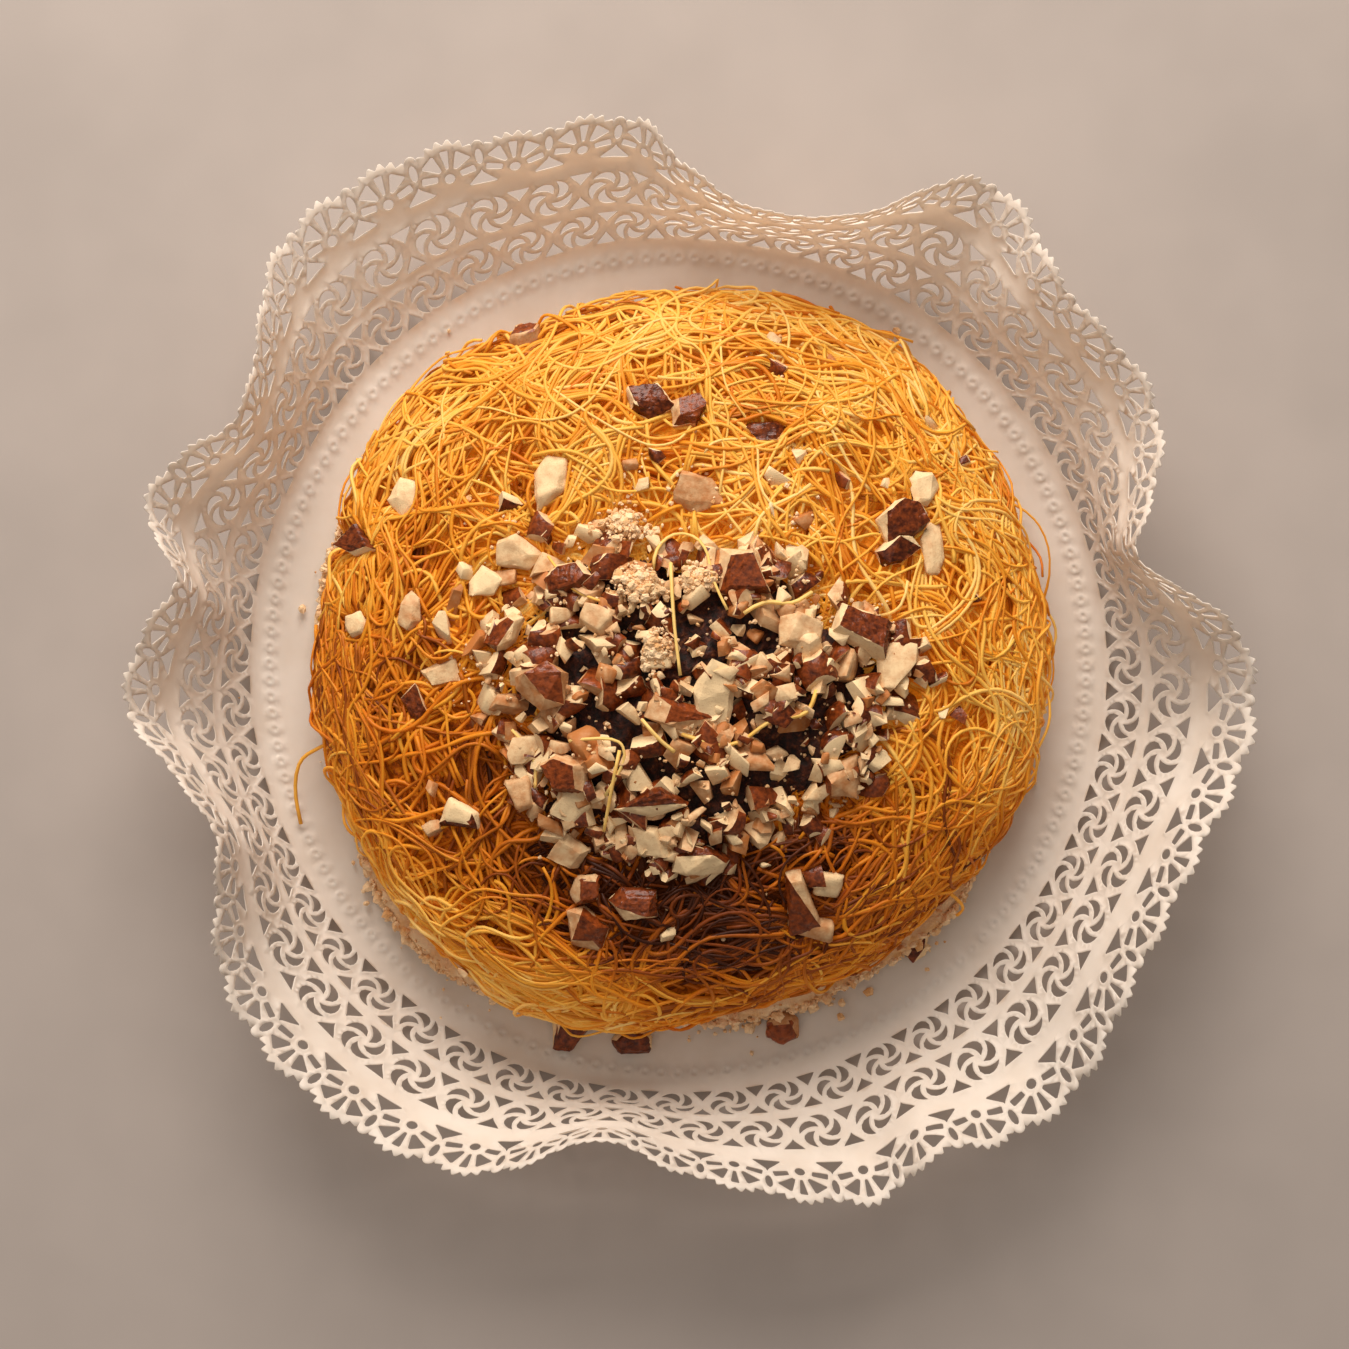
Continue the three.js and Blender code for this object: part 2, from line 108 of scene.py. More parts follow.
class Recipe:
    """One material's node tree."""

    def __init__(self, name: str) -> None:
        """Starts an empty tree."""
        self.material = bpy.data.materials.new(name)
        self.material.use_nodes = True
        self.tree = self.material.node_tree
        self.tree.nodes.clear()

    def add(self, kind: str, settings: dict, inputs: dict, output: Union[int, str] = 0) -> Socket:
        """Adds a node.

        Args:
            kind: the node's type.
            settings: its properties; "stops" holds a colour ramp's (place, colour) pairs.
            inputs: values or sockets, by the input's number or name.
            output: the output that is wanted.

        Returns:
            That output.
        """
        node = self.tree.nodes.new(kind)
        for name, value in settings.items():
            if name == "stops":
                self._fill_ramp(node.color_ramp, value)
            else:
                setattr(node, name, value)
        for name, value in inputs.items():
            if isinstance(value, Socket):
                self.tree.links.new(value.output, node.inputs[name])
            else:
                plug = node.inputs[name]
                if plug.type == "RGBA" and len(value) == 3:
                    value = (*value, 1.0)
                plug.default_value = value
        return Socket(self, node.outputs[output])

    @staticmethod
    def _fill_ramp(ramp: bpy.types.ColorRamp, stops: Sequence[tuple[float, Colour]]) -> None:
        """Sets a ramp's stops."""
        while len(ramp.elements) < len(stops):
            ramp.elements.new(1.0)
        for element, (place, colour) in zip(ramp.elements, stops):
            element.position = place
            element.color = (*colour, 1.0)

    def place(self) -> Socket:
        """The point on the piece, in metres in the cake's frame."""
        return self.add("ShaderNodeNewGeometry", {}, {}, "Position")

    def attribute(self, name: str) -> Socket:
        """A number stored on the mesh."""
        return self.add("ShaderNodeAttribute", {"attribute_name": name}, {}, "Fac")

    def noise(self, size_mm: float, detail: float) -> Socket:
        """Noise with lumps of about a size.

        Args:
            size_mm: the size of its lumps.
            detail: how many finer layers it has.

        Returns:
            The noise, about 0.5 on average.
        """
        inputs = {"Vector": self.place(), "Scale": 1 / (size_mm * MM), "Detail": detail, "Roughness": 0.6}
        return self.add("ShaderNodeTexNoise", {}, inputs, "Fac")

    def mix(self, first: Value, second: Value, share: Value) -> Socket:
        """Mixes two colours: all first at share 0, all second at 1."""
        return self.add("ShaderNodeMix", {"data_type": "RGBA"}, {"Factor": share, 6: first, 7: second}, 2)

    def ramp(self, value: Value, stops: Sequence[tuple[float, Colour]]) -> Socket:
        """A colour ramp."""
        return self.add("ShaderNodeValToRGB", {"stops": stops}, {"Fac": value}, "Color")

    def bump(self, height: Value, depth_mm: float) -> Socket:
        """A normal roughened by a height from 0 to 1 that stands for a depth."""
        inputs = {"Height": height, "Distance": depth_mm * MM, "Strength": 1.0}
        return self.add("ShaderNodeBump", {}, inputs, "Normal")

    def surface(self, inputs: dict) -> Socket:
        """The usual surface shader."""
        return self.add("ShaderNodeBsdfPrincipled", {}, inputs, "BSDF")

    def finish(self, inputs: dict) -> bpy.types.Material:
        """Closes the tree with the usual surface shader."""
        return self.close(self.surface(inputs))

    def finish_thin(self, inputs: dict, glow: Colour, share: float) -> bpy.types.Material:
        """Closes the tree with a surface that light shines through.

        Args:
            inputs: the usual surface shader's.
            glow: the colour of the light that comes through.
            share: how much of the surface lets it through.

        Returns:
            The material.
        """
        surface = self.surface(inputs)
        through = self.add("ShaderNodeBsdfTranslucent", {}, {"Color": glow}, "BSDF")
        return self.close(self.add("ShaderNodeMixShader", {}, {0: share, 1: surface, 2: through}))

    def close(self, surface: Socket) -> bpy.types.Material:
        """Makes a shader the material's surface."""
        output = self.tree.nodes.new("ShaderNodeOutputMaterial")
        self.tree.links.new(surface.output, output.inputs["Surface"])
        return self.material


def linear(red: int, green: int, blue: int) -> Colour:
    """A colour as a screen shows it, from 0 to 255, as shader values."""

    def channel(value: int) -> float:
        """One channel as a shader value."""
        share = value / 255
        return share / 12.92 if share <= 0.04045 else ((share + 0.055) / 1.055) ** 2.4

    return channel(red), channel(green), channel(blue)


# ---- Finishes ----


@dataclass(frozen=True)
class PaperFinish:
    """Cream lace paper: matt, thin enough to let light through, with a fine fibre."""

    colour: Colour = linear(252, 245, 236)
    shade: Colour = linear(244, 234, 222)
    glow: Colour = linear(252, 238, 222)
    fibre_mm: float = 0.35
    mottle_mm: float = 14.0
    translucency: float = 0.44

    def make(self) -> bpy.types.Material:
        """Builds the material."""
        recipe = Recipe("lace_paper")
        mottle = recipe.noise(self.mottle_mm, 3)
        fibre = recipe.noise(self.fibre_mm, 2)
        return recipe.finish_thin({
            "Base Color": recipe.mix(self.colour, self.shade, mottle.step(0.35, 0.75)),
            "Roughness": 0.55,
            "Normal": recipe.bump(fibre, 0.03),
            "Specular IOR Level": 0.3,
        }, self.glow, self.translucency)


@dataclass(frozen=True)
class PastaFinish:
    """Baked egg pasta, straw yellow to brown by browning and painted shade, lightly glazed, with a painted
    glow.
    """

    name: str
    glow: Colour
    roughness: float = 0.5
    translucency: float = 0.25
    painted_glow: float = 0.1

    def make(self) -> bpy.types.Material:
        """Builds the material."""
        recipe = Recipe(self.name)
        patches = recipe.noise(7.0, 2)
        toast_and_shade = recipe.attribute("toast_and_shade") + (patches - 0.5) * 0.3
        base = recipe.ramp(toast_and_shade, [
            (0.0, linear(250, 216, 132)),
            (0.2, linear(246, 194, 84)),
            (0.4, linear(236, 160, 40)),
            (0.58, linear(212, 118, 16)),
            (0.78, linear(144, 66, 8)),
            (1.0, linear(66, 28, 7)),
        ])
        grain = recipe.noise(0.6, 1)
        return recipe.finish_thin({
            "Base Color": base,
            "Roughness": grain * 0.2 + (self.roughness - 0.1),
            "Normal": recipe.bump(grain, 0.05),
            "Specular IOR Level": 0.32,
            # Painted glow: the pasta gives off its own colour as light, standing in for light that shines
            # through the strands.
            "Emission Color": base,
            "Emission Strength": self.painted_glow,
        }, self.glow, self.translucency)


@dataclass(frozen=True)
class NestCoreFinish:
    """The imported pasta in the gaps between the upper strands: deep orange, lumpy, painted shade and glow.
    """

    painted_glow: float = 0.13

    def make(self) -> bpy.types.Material:
        """Builds the material."""
        recipe = Recipe("nest_core")
        ribs = recipe.noise(1.6, 2)
        toast_and_shade = recipe.attribute("toast_and_shade") + (ribs - 0.5) * 0.9
        base = recipe.ramp(toast_and_shade, [
            (0.1, linear(250, 184, 52)),
            (0.38, linear(238, 148, 22)),
            (0.6, linear(182, 90, 10)),
            (0.85, linear(78, 32, 5)),
        ])
        return recipe.finish({
            "Base Color": base,
            "Roughness": 0.6,
            "Normal": recipe.bump(ribs, 0.8),
            "Specular IOR Level": 0.3,
            # Painted glow: the core gives off its own colour as light, so the gaps between the strands look
            # lit from within.
            "Emission Color": base,
            "Emission Strength": self.painted_glow,
        })


@dataclass(frozen=True)
class AlmondFinish:
    """Chopped almond: cut flesh toasted in places, and brown wrinkled skin on the skin faces."""

    name: str
    flesh: Colour = linear(240, 208, 160)
    toasted: Colour = linear(180, 110, 54)
    skin_dark: Colour = linear(62, 21, 7)
    skin_light: Colour = linear(150, 70, 26)

    def make(self) -> bpy.types.Material:
        """Builds the material."""
        recipe = Recipe(self.name)
        tone = recipe.attribute("tone")
        clouds = recipe.noise(3.0, 2)
        grain = recipe.noise(0.5, 3)
        flesh = recipe.mix(self.flesh, self.toasted, (tone * 0.75 + clouds * 0.8 - 0.5).step(0.0, 0.8))
        flesh = recipe.mix(flesh, self.toasted, grain.step(0.55, 0.75) * 0.4)
        wrinkles = recipe.noise(1.5, 2)
        skin = recipe.mix(self.skin_dark, self.skin_light, (wrinkles + tone * 0.3).step(0.3, 1.0))
        mask = recipe.attribute("skin")
        base = recipe.mix(flesh, skin, mask)
        relief = grain * (1 - mask) * 0.4 + wrinkles * mask
        return recipe.finish({
            "Base Color": base,
            "Roughness": 0.6 - mask * 0.28,
            "Normal": recipe.bump(relief, 0.3),
            "Specular IOR Level": 0.3,
        })


@dataclass(frozen=True)
class CrumbFinish:
    """Ground almond and sugar: rough pale grains, golden where they are toasted."""

    name: str
    pale: Colour = linear(242, 208, 164)
    golden: Colour = linear(218, 158, 92)
    dark: Colour = linear(170, 104, 44)

    def make(self) -> bpy.types.Material:
        """Builds the material."""
        recipe = Recipe(self.name)
        tone = recipe.attribute("tone")
        clumps = recipe.noise(3.5, 2)
        grain = recipe.noise(0.7, 2)
        base = recipe.mix(self.pale, self.golden, (tone * 0.6 + clumps * 0.9 - 0.4).step(0.1, 0.9))
        base = recipe.mix(base, self.dark, grain.step(0.62, 0.85) * 0.4)
        return recipe.finish({
            "Base Color": base,
            "Roughness": 0.75,
            "Normal": recipe.bump(grain, 0.4),
        })


@dataclass(frozen=True)
class HeapShadeCoreFinish:
    """Painted shade: a near-black core that stands for the shadow in the gaps between the chopped almonds."""

    def make(self) -> bpy.types.Material:
        """Builds the material."""
        recipe = Recipe("heap_painted_shade_core")
        lumps = recipe.noise(2.2, 3)
        # Painted shade: near-black to dark brown, for the shadow deep between the pieces.
        base = recipe.ramp(lumps, [
            (0.4, linear(28, 8, 3)),
            (0.58, linear(74, 28, 10)),
            (0.75, linear(140, 82, 40)),
        ])
        return recipe.finish({
            "Base Color": base,
            "Roughness": 0.75,
            "Normal": recipe.bump(lumps, 1.2),
        })


@dataclass(frozen=True)
class FloorFinish:
    """A plain pale warm-grey table."""

    colour: Colour = linear(178, 166, 158)

    def make(self) -> bpy.types.Material:
        """Builds the material."""
        recipe = Recipe("floor")
        cloud = recipe.noise(90.0, 3)
        base = recipe.mix(self.colour, tuple(0.9 * part for part in self.colour), cloud.step(0.3, 0.7))
        return recipe.finish({"Base Color": base, "Roughness": 0.85})


# ---- Meshes ----


def put(name: str, data: bpy.types.ID) -> bpy.types.Object:
    """Makes an object of a mesh, light or camera and puts it in the scene."""
    thing = bpy.data.objects.new(name, data)
    bpy.context.scene.collection.objects.link(thing)
    return thing


def unit(vectors: Array) -> Array:
    """Vectors brought to length 1, along the last axis."""
    return vectors / np.maximum(np.linalg.norm(vectors, axis=-1, keepdims=True), 1e-9)


def compass(azimuth: Array) -> Array:
    """Flat directions of length 1 at azimuths in radians."""
    return np.stack([np.cos(azimuth), np.sin(azimuth)], -1)


def smoothed(heights: Array, times: int) -> Array:
    """A line of heights with its bends eased, taken as level beyond its ends."""
    for _ in range(times):
        padded = np.pad(heights, 1, mode="edge")
        heights = (padded[:-2] + 2 * padded[1:-1] + padded[2:]) / 4
    return heights


def arrays_of(form: bmesh.types.BMesh) -> tuple[Array, Array]:
    """The vertices and faces of a mesh whose faces all have as many corners."""
    form.verts.index_update()
    vertices = np.array([vertex.co for vertex in form.verts])
    return vertices, np.array([[vertex.index for vertex in face.verts] for face in form.faces])


def break_edges(form: bmesh.types.BMesh, edges: list[bmesh.types.BMEdge], width: float) -> None:
    """Cuts a narrow flat along some edges."""
    bmesh.ops.bevel(
        form, geom=edges, offset=width, offset_type="OFFSET", segments=1, profile=0.5,
        affect="EDGES", clamp_overlap=True, material=-1,
    )


@dataclass
class Shape:
    """A mesh as arrays: vertices in millimetres, faces of one size, and numbers for the shader."""

    vertices: Array
    faces: Array
    numbers: dict[str, Array] = field(default_factory=dict)
    face_numbers: dict[str, Array] = field(default_factory=dict)

    @staticmethod
    def joined(shapes: Sequence["Shape"]) -> "Shape":
        """All the shapes as one."""
        starts = np.cumsum([0] + [len(shape.vertices) for shape in shapes[:-1]])
        first = shapes[0]
        return Shape(
            np.concatenate([shape.vertices for shape in shapes]),
            np.concatenate([shape.faces + start for shape, start in zip(shapes, starts)]),
            {name: np.concatenate([shape.numbers[name] for shape in shapes]) for name in first.numbers},
            {
                name: np.concatenate([shape.face_numbers[name] for shape in shapes])
                for name in first.face_numbers
            },
        )

    def piece(
        self, name: str, material: bpy.types.Material, slot: str, crease: float = 180.0
    ) -> bpy.types.Object:
        """Makes the Blender object, riding on the cake's body.

        Args:
            name: its name.
            material: its finish.
            slot: not used.
            crease: the angle in degrees from which an edge is shaded sharp.

        Returns:
            The object.
        """
        mesh = bpy.data.meshes.new(name)
        count, size = self.faces.shape
        mesh.vertices.add(len(self.vertices))
        mesh.vertices.foreach_set("co", (self.vertices * MM).astype(np.float32).ravel())
        mesh.loops.add(count * size)
        mesh.loops.foreach_set("vertex_index", self.faces.astype(np.int32).ravel())
        mesh.polygons.add(count)
        mesh.polygons.foreach_set("loop_start", np.arange(0, count * size, size, dtype=np.int32))
        mesh.polygons.foreach_set("use_smooth", np.full(count, True))
        mesh.update(calc_edges=True)
        for domain, table in (("POINT", self.numbers), ("FACE", self.face_numbers)):
            for key, values in table.items():
                store = mesh.attributes.new(key, "FLOAT", domain)
                store.data.foreach_set("value", values.astype(np.float32))
        if crease < 180:
            mesh.set_sharp_from_angle(angle=math.radians(crease))
        mesh.materials.append(material)
        piece = put(name, mesh)
        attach(piece, BODY)
        LOG.info("%s: %d faces of %d corners", name, count, size)
        return piece


def ball(level: int) -> tuple[Array, Array]:
    """An icosphere's unit directions and its faces."""
    form = bmesh.new()
    bmesh.ops.create_icosphere(form, subdivisions=level, radius=1.0)
    directions, faces = arrays_of(form)
    form.free()
    return unit(directions), faces


def body_of_rings(rings: Array) -> tuple[Array, Array]:
    """A closed body from rings of points that run outward over the top and back in underneath.

    Args:
        rings: an array of rings, columns and coordinates.

    Returns:
        Its vertices, with the two middles last, and its triangles.
    """
    count, columns, _ = rings.shape
    vertices = np.concatenate([rings.reshape(-1, 3), [rings[0].mean(0)], [rings[-1].mean(0)]])
    column = np.arange(columns)
    after = (column + 1) % columns
    faces = [np.stack([np.full(columns, count * columns), column, after], 1)]
    for ring in range(count - 1):
        a, b = ring * columns + column, ring * columns + after
        d, c = a + columns, b + columns
        faces += [np.stack([a, d, c], 1), np.stack([a, c, b], 1)]
    last = (count - 1) * columns
    faces.append(np.stack([last + column, np.full(columns, count * columns + 1), last + after], 1))
    return vertices, np.concatenate(faces)


def ripple(points: Array, size: float, seed: int) -> Array:
    """Smooth numbers from about -1 to 1 over points, with lumps of about a size in millimetres."""
    rng = np.random.default_rng(seed)
    total = np.zeros(points.shape[:-1])
    for _ in range(6):
        direction = rng.normal(size=3)
        direction *= FULL_TURN / (size * 2.2) / np.linalg.norm(direction) * rng.uniform(0.7, 1.4)
        total += np.sin(points @ direction + rng.uniform(0, FULL_TURN))
    return total / 3


def round_the_turn(pairs: Sequence[tuple[float, float]]) -> Callable[[Array], Array]:
    """A smooth closed curve through (degrees, value) pairs, as a function of degrees."""
    knots = np.array(pairs, float)
    before, after = knots[-2:] - [360, 0], knots[:2] + [360, 0]
    places, values = np.concatenate([before, knots, after]).T
    slopes = np.zeros_like(values)
    slopes[1:-1] = (values[2:] - values[:-2]) / (places[2:] - places[:-2])

    def curve(degrees: Array) -> Array:
        """The value at each azimuth."""
        wrapped = (np.asarray(degrees, float) - pairs[0][0]) % 360 + pairs[0][0]
        index = np.searchsorted(places, wrapped, side="right") - 1
        span = places[index + 1] - places[index]
        t = (wrapped - places[index]) / span
        return (
            values[index] * (1 + 2 * t) * (1 - t) ** 2 + values[index + 1] * t * t * (3 - 2 * t)
            + span * t * (1 - t) * (slopes[index] * (1 - t) - slopes[index + 1] * t)
        )

    return curve


# ---- The cake's form, as the CAD model has it ----


@dataclass(frozen=True)
class CakeForm:
    """Outline, dome and heap of the cake."""

    centre: tuple[float, float] = (-1.0, 0.5)
    radius: float = 104.5
    waves: tuple[tuple[float, float, float], ...] = ((2, 1.5, 68), (3, 0.7, 4), (4, 1.8, 54), (6, 0.7, 3))
    crumb_floor: float = 1.1
    crumb_height: float = 8.0
    crumb_inset: float = 3.0
    crumb_spills: tuple[tuple[float, float, float], ...] = (
        (166, 16, 5), (224, 22, 7), (286, 20, 6.5), (318, 14, 6),
    )
    nest_height: float = 36.0
    nest_fullness: float = 2.6
    nest_bulge: float = 5.0
    nest_foot_inset: float = 2.5
    heap_centre: tuple[float, float] = (3.0, -9.0)
    heap_half_length: float = 62.0
    heap_half_width: float = 49.0
    heap_height: float = 9.0

    @property
    def nest_floor(self) -> float:
        """Height of the pasta's foot."""
        return self.crumb_floor + self.crumb_height + GAP

    def outline(self, azimuth: Array) -> Array:
        """Radius of the cake at an azimuth in radians."""
        total = np.full_like(np.asarray(azimuth, float), self.radius)
        for count, size, crest in self.waves:
            total = total + size * np.cos(count * (azimuth - math.radians(crest)))
        return total

    def spilled(self, azimuth: Array, widening: float) -> Array:
        """How far the ground almond spills outward, with each spill widened by a factor."""
        total = np.zeros_like(azimuth)
        for place, half_width, size in self.crumb_spills:
            away = (np.degrees(azimuth) - place + 180) % 360 - 180
            total = total + size * np.exp(-((away / (widening * half_width)) ** 2))
        return total

    def crumb_outline(self, azimuth: Array) -> Array:
        """Radius of the layer of ground almond."""
        return self.outline(azimuth) - self.crumb_inset + self.spilled(azimuth, 1.0)

    def around(self, azimuth: Array, reach: Array) -> tuple[Array, Array]:
        """The x and y of points about the cake's middle."""
        return self.centre[0] + reach * np.cos(azimuth), self.centre[1] + reach * np.sin(azimuth)

    @staticmethod
    def swell(x: Array, y: Array) -> Array:
        """Low swells where the strands lie in bundles."""
        return (
            0.9 * np.sin(x / 15 + 0.8) * np.sin(y / 13 - 0.4)
            + 0.6 * np.sin((x + 1.6 * y) / 11) + 0.5 * np.sin((1.4 * x - y) / 8.5 + 2)
        )

    def nest_top(self, x: Array, y: Array) -> Array:
        """Height of the pasta over a point."""
        dx, dy = x - self.centre[0], y - self.centre[1]
        share = np.minimum(np.hypot(dx, dy) / self.outline(np.arctan2(dy, dx)), 1)
        dome = np.sqrt(1 - share ** self.nest_fullness)
        height = self.nest_bulge + (self.nest_height - self.nest_bulge) * dome
        return self.nest_floor + height + self.swell(x, y) * (1 - share ** 4)

    def heap_share(self, x: Array, y: Array) -> Array:
        """Share of the heap's height: 1 at its middle, below 0 outside its ragged outline."""
        dx = (x - self.heap_centre[0]) / self.heap_half_length
        dy = (y - self.heap_centre[1]) / self.heap_half_width
        azimuth = np.arctan2(dy, dx)
        ragged = 1 + 0.07 * np.sin(3 * azimuth + 1) + 0.05 * np.sin(7 * azimuth)
        return 1 - (np.hypot(dx, dy) / ragged) ** 2.4

    def heap_top(self, x: Array, y: Array) -> Array:
        """Height of the heap over a point."""
        lumps = 0.9 * np.sin(x / 5.2) * np.sin(y / 4.7 + 1) + 0.6 * np.sin((x - y) / 7.5)
        share = self.heap_share(x, y)
        return self.nest_top(x, y) + self.heap_height * share + lumps * np.maximum(share, 0)

    def top(self, x: Array, y: Array) -> Array:
        """Height of the cake over a point, heap and all."""
        return np.maximum(self.nest_top(x, y), self.heap_top(x, y))


class DomeMap:
    """Lays a flat plan on the dome: distance from the middle becomes length down its side."""

    STEPS = 400
    FOOT_STEPS = 12
    LEAN_STEP = 2.0
    DRAWN_IN = 0.9
    DRAWN_IN_WIDENING = 1.15

    def __init__(self, form: CakeForm) -> None:
        """Works out the dome's profile from its crown to its foot."""
        self.form = form
        share = 1 - (1 - np.linspace(0, 1, self.STEPS)) ** 2.2
        rise = np.sqrt(np.maximum(1 - share ** form.nest_fullness, 0))
        reach = share * form.radius
        height = form.nest_bulge + (form.nest_height - form.nest_bulge) * rise
        foot = np.linspace(0, 1, self.FOOT_STEPS)[1:]
        reach = np.concatenate([reach, form.radius - form.nest_foot_inset * foot ** 1.5])
        height = np.concatenate([height, form.nest_bulge * (1 - foot)])
        self.along = np.concatenate([[0], np.cumsum(np.hypot(np.diff(reach), np.diff(height)))])
        self.reach, self.height = reach, height
        self.length = self.along[-1]
        ahead, behind = self.along + self.LEAN_STEP, self.along - self.LEAN_STEP
        lean_reach = np.interp(ahead, self.along, reach) - np.interp(behind, self.along, reach)
        lean_height = np.interp(ahead, self.along, height) - np.interp(behind, self.along, height)
        size = np.hypot(lean_reach, lean_height)
        self.out_reach, self.out_height = -lean_height / size, lean_reach / size

    def _drawn_in(self, along: Array, azimuth: Array) -> Array:
        """How far the strands stop short of the outline, where the ground almond shows below them."""
        spilled = self.form.spilled(azimuth, self.DRAWN_IN_WIDENING)
        return self.DRAWN_IN * spilled * (along / self.length) ** 3

    def lay(self, plan: Array, lift: Array) -> tuple[Array, Array]:
        """Carries points of the plan onto the dome.

        Args:
            plan: flat points about the dome's middle, in millimetres.
            lift: how far each stands off the surface.

        Returns:
            The points and the surface's outward directions there.
        """
        along = np.clip(np.hypot(plan[..., 0], plan[..., 1]), 1e-6, self.length)
        azimuth = np.arctan2(plan[..., 1], plan[..., 0])
        stretch = (self.form.outline(azimuth) - self._drawn_in(along, azimuth)) / self.form.radius
        out_reach = np.interp(along, self.along, self.out_reach)
        out_height = np.interp(along, self.along, self.out_height)
        reach = np.interp(along, self.along, self.reach) * stretch + out_reach * lift
        height = np.interp(along, self.along, self.height) + out_height * lift
        x = self.form.centre[0] + reach * np.cos(azimuth)
        y = self.form.centre[1] + reach * np.sin(azimuth)
        share = np.clip(reach / (self.form.radius * stretch), 0, 1)
        z = self.form.nest_floor + height + self.form.swell(x, y) * (1 - share ** 4)
        normal = np.stack([out_reach * np.cos(azimuth), out_reach * np.sin(azimuth), out_height], -1)
        return np.stack([x, y, z], -1), normal


# ---- Lace paper ----


@dataclass(frozen=True)
class PaperForm:
    """The round lace paper: flat under the cake, its band turned up and ruffled."""

    radius: float = 175.0
    flat_radius: float = 116.0
    bend: float = 16.0
    leans: tuple[tuple[float, float], ...] = (
        (3, 48), (12.5, 84), (20, 72), (26, 60), (32, 56), (39, 59), (46, 57), (52, 45), (58, 43),
        (67, 78), (80, 88), (89, 75), (94, 56), (107, 53), (116, 43), (132, 37), (143, 64),
        (151, 72), (159, 55), (164, 53), (170, 71), (178, 58), (185, 53), (190, 65), (200, 77),
        (208, 65), (213, 55), (220, 48), (232, 46), (241, 49), (249, 57), (260, 81), (271, 71),
        (278, 63), (285, 52), (291, 43), (298, 53), (305, 39), (312, 35), (325, 52), (340, 53),
        (350, 42), (356, 39),
    )

    def lean(self, degrees: Array) -> Array:
        """Lean of the band from the flat, in radians."""
        return np.radians(round_the_turn(self.leans)(degrees))

    def profile(self, flat_radius: Array, lean: Array) -> tuple[Array, Array]:
        """Reach from the centre and rise of a point of the band: an arc, then straight up."""
        along = np.maximum(flat_radius - self.flat_radius, 0)
        arc = np.minimum(along, self.bend)
        arc_radius = self.bend / lean
        straight = along - arc
        reach = np.minimum(flat_radius, self.flat_radius) + arc_radius * np.sin(arc / arc_radius)
        rise = arc_radius * (1 - np.cos(arc / arc_radius))
        return reach + straight * np.cos(lean), rise + straight * np.sin(lean)

    def even_edge(self, steps: int = 1440) -> tuple[Array, Array]:
        """Even shares of the paper's edge and the azimuths in the ruffles where they fall."""
        degrees = np.arange(steps + 1) * 360 / steps
        reach, rise = self.profile(np.full(steps + 1, self.radius), self.lean(degrees))
        azimuth = np.radians(degrees)
        edge = np.stack([reach * np.cos(azimuth), reach * np.sin(azimuth), rise], 1)
        lengths = np.concatenate([[0], np.cumsum(np.linalg.norm(np.diff(edge, axis=0), axis=1))])
        return lengths / lengths[-1] * 360, degrees

    def fold(self, flat_radius: Array, degrees: Array, edge: tuple[Array, Array]) -> Array:
        """Where points of the flat paper lie once its band is ruffled."""
        wrapped = degrees % 360
        edge_degrees = np.interp(wrapped, *edge) + degrees - wrapped
        reach, rise = self.profile(flat_radius, self.lean(edge_degrees))
        along = np.maximum((flat_radius - self.flat_radius) / (self.radius - self.flat_radius), 0)
        azimuth = np.radians(degrees + (edge_degrees - degrees) * along)
        return np.stack([reach * np.cos(azimuth), reach * np.sin(azimuth), rise], 1)


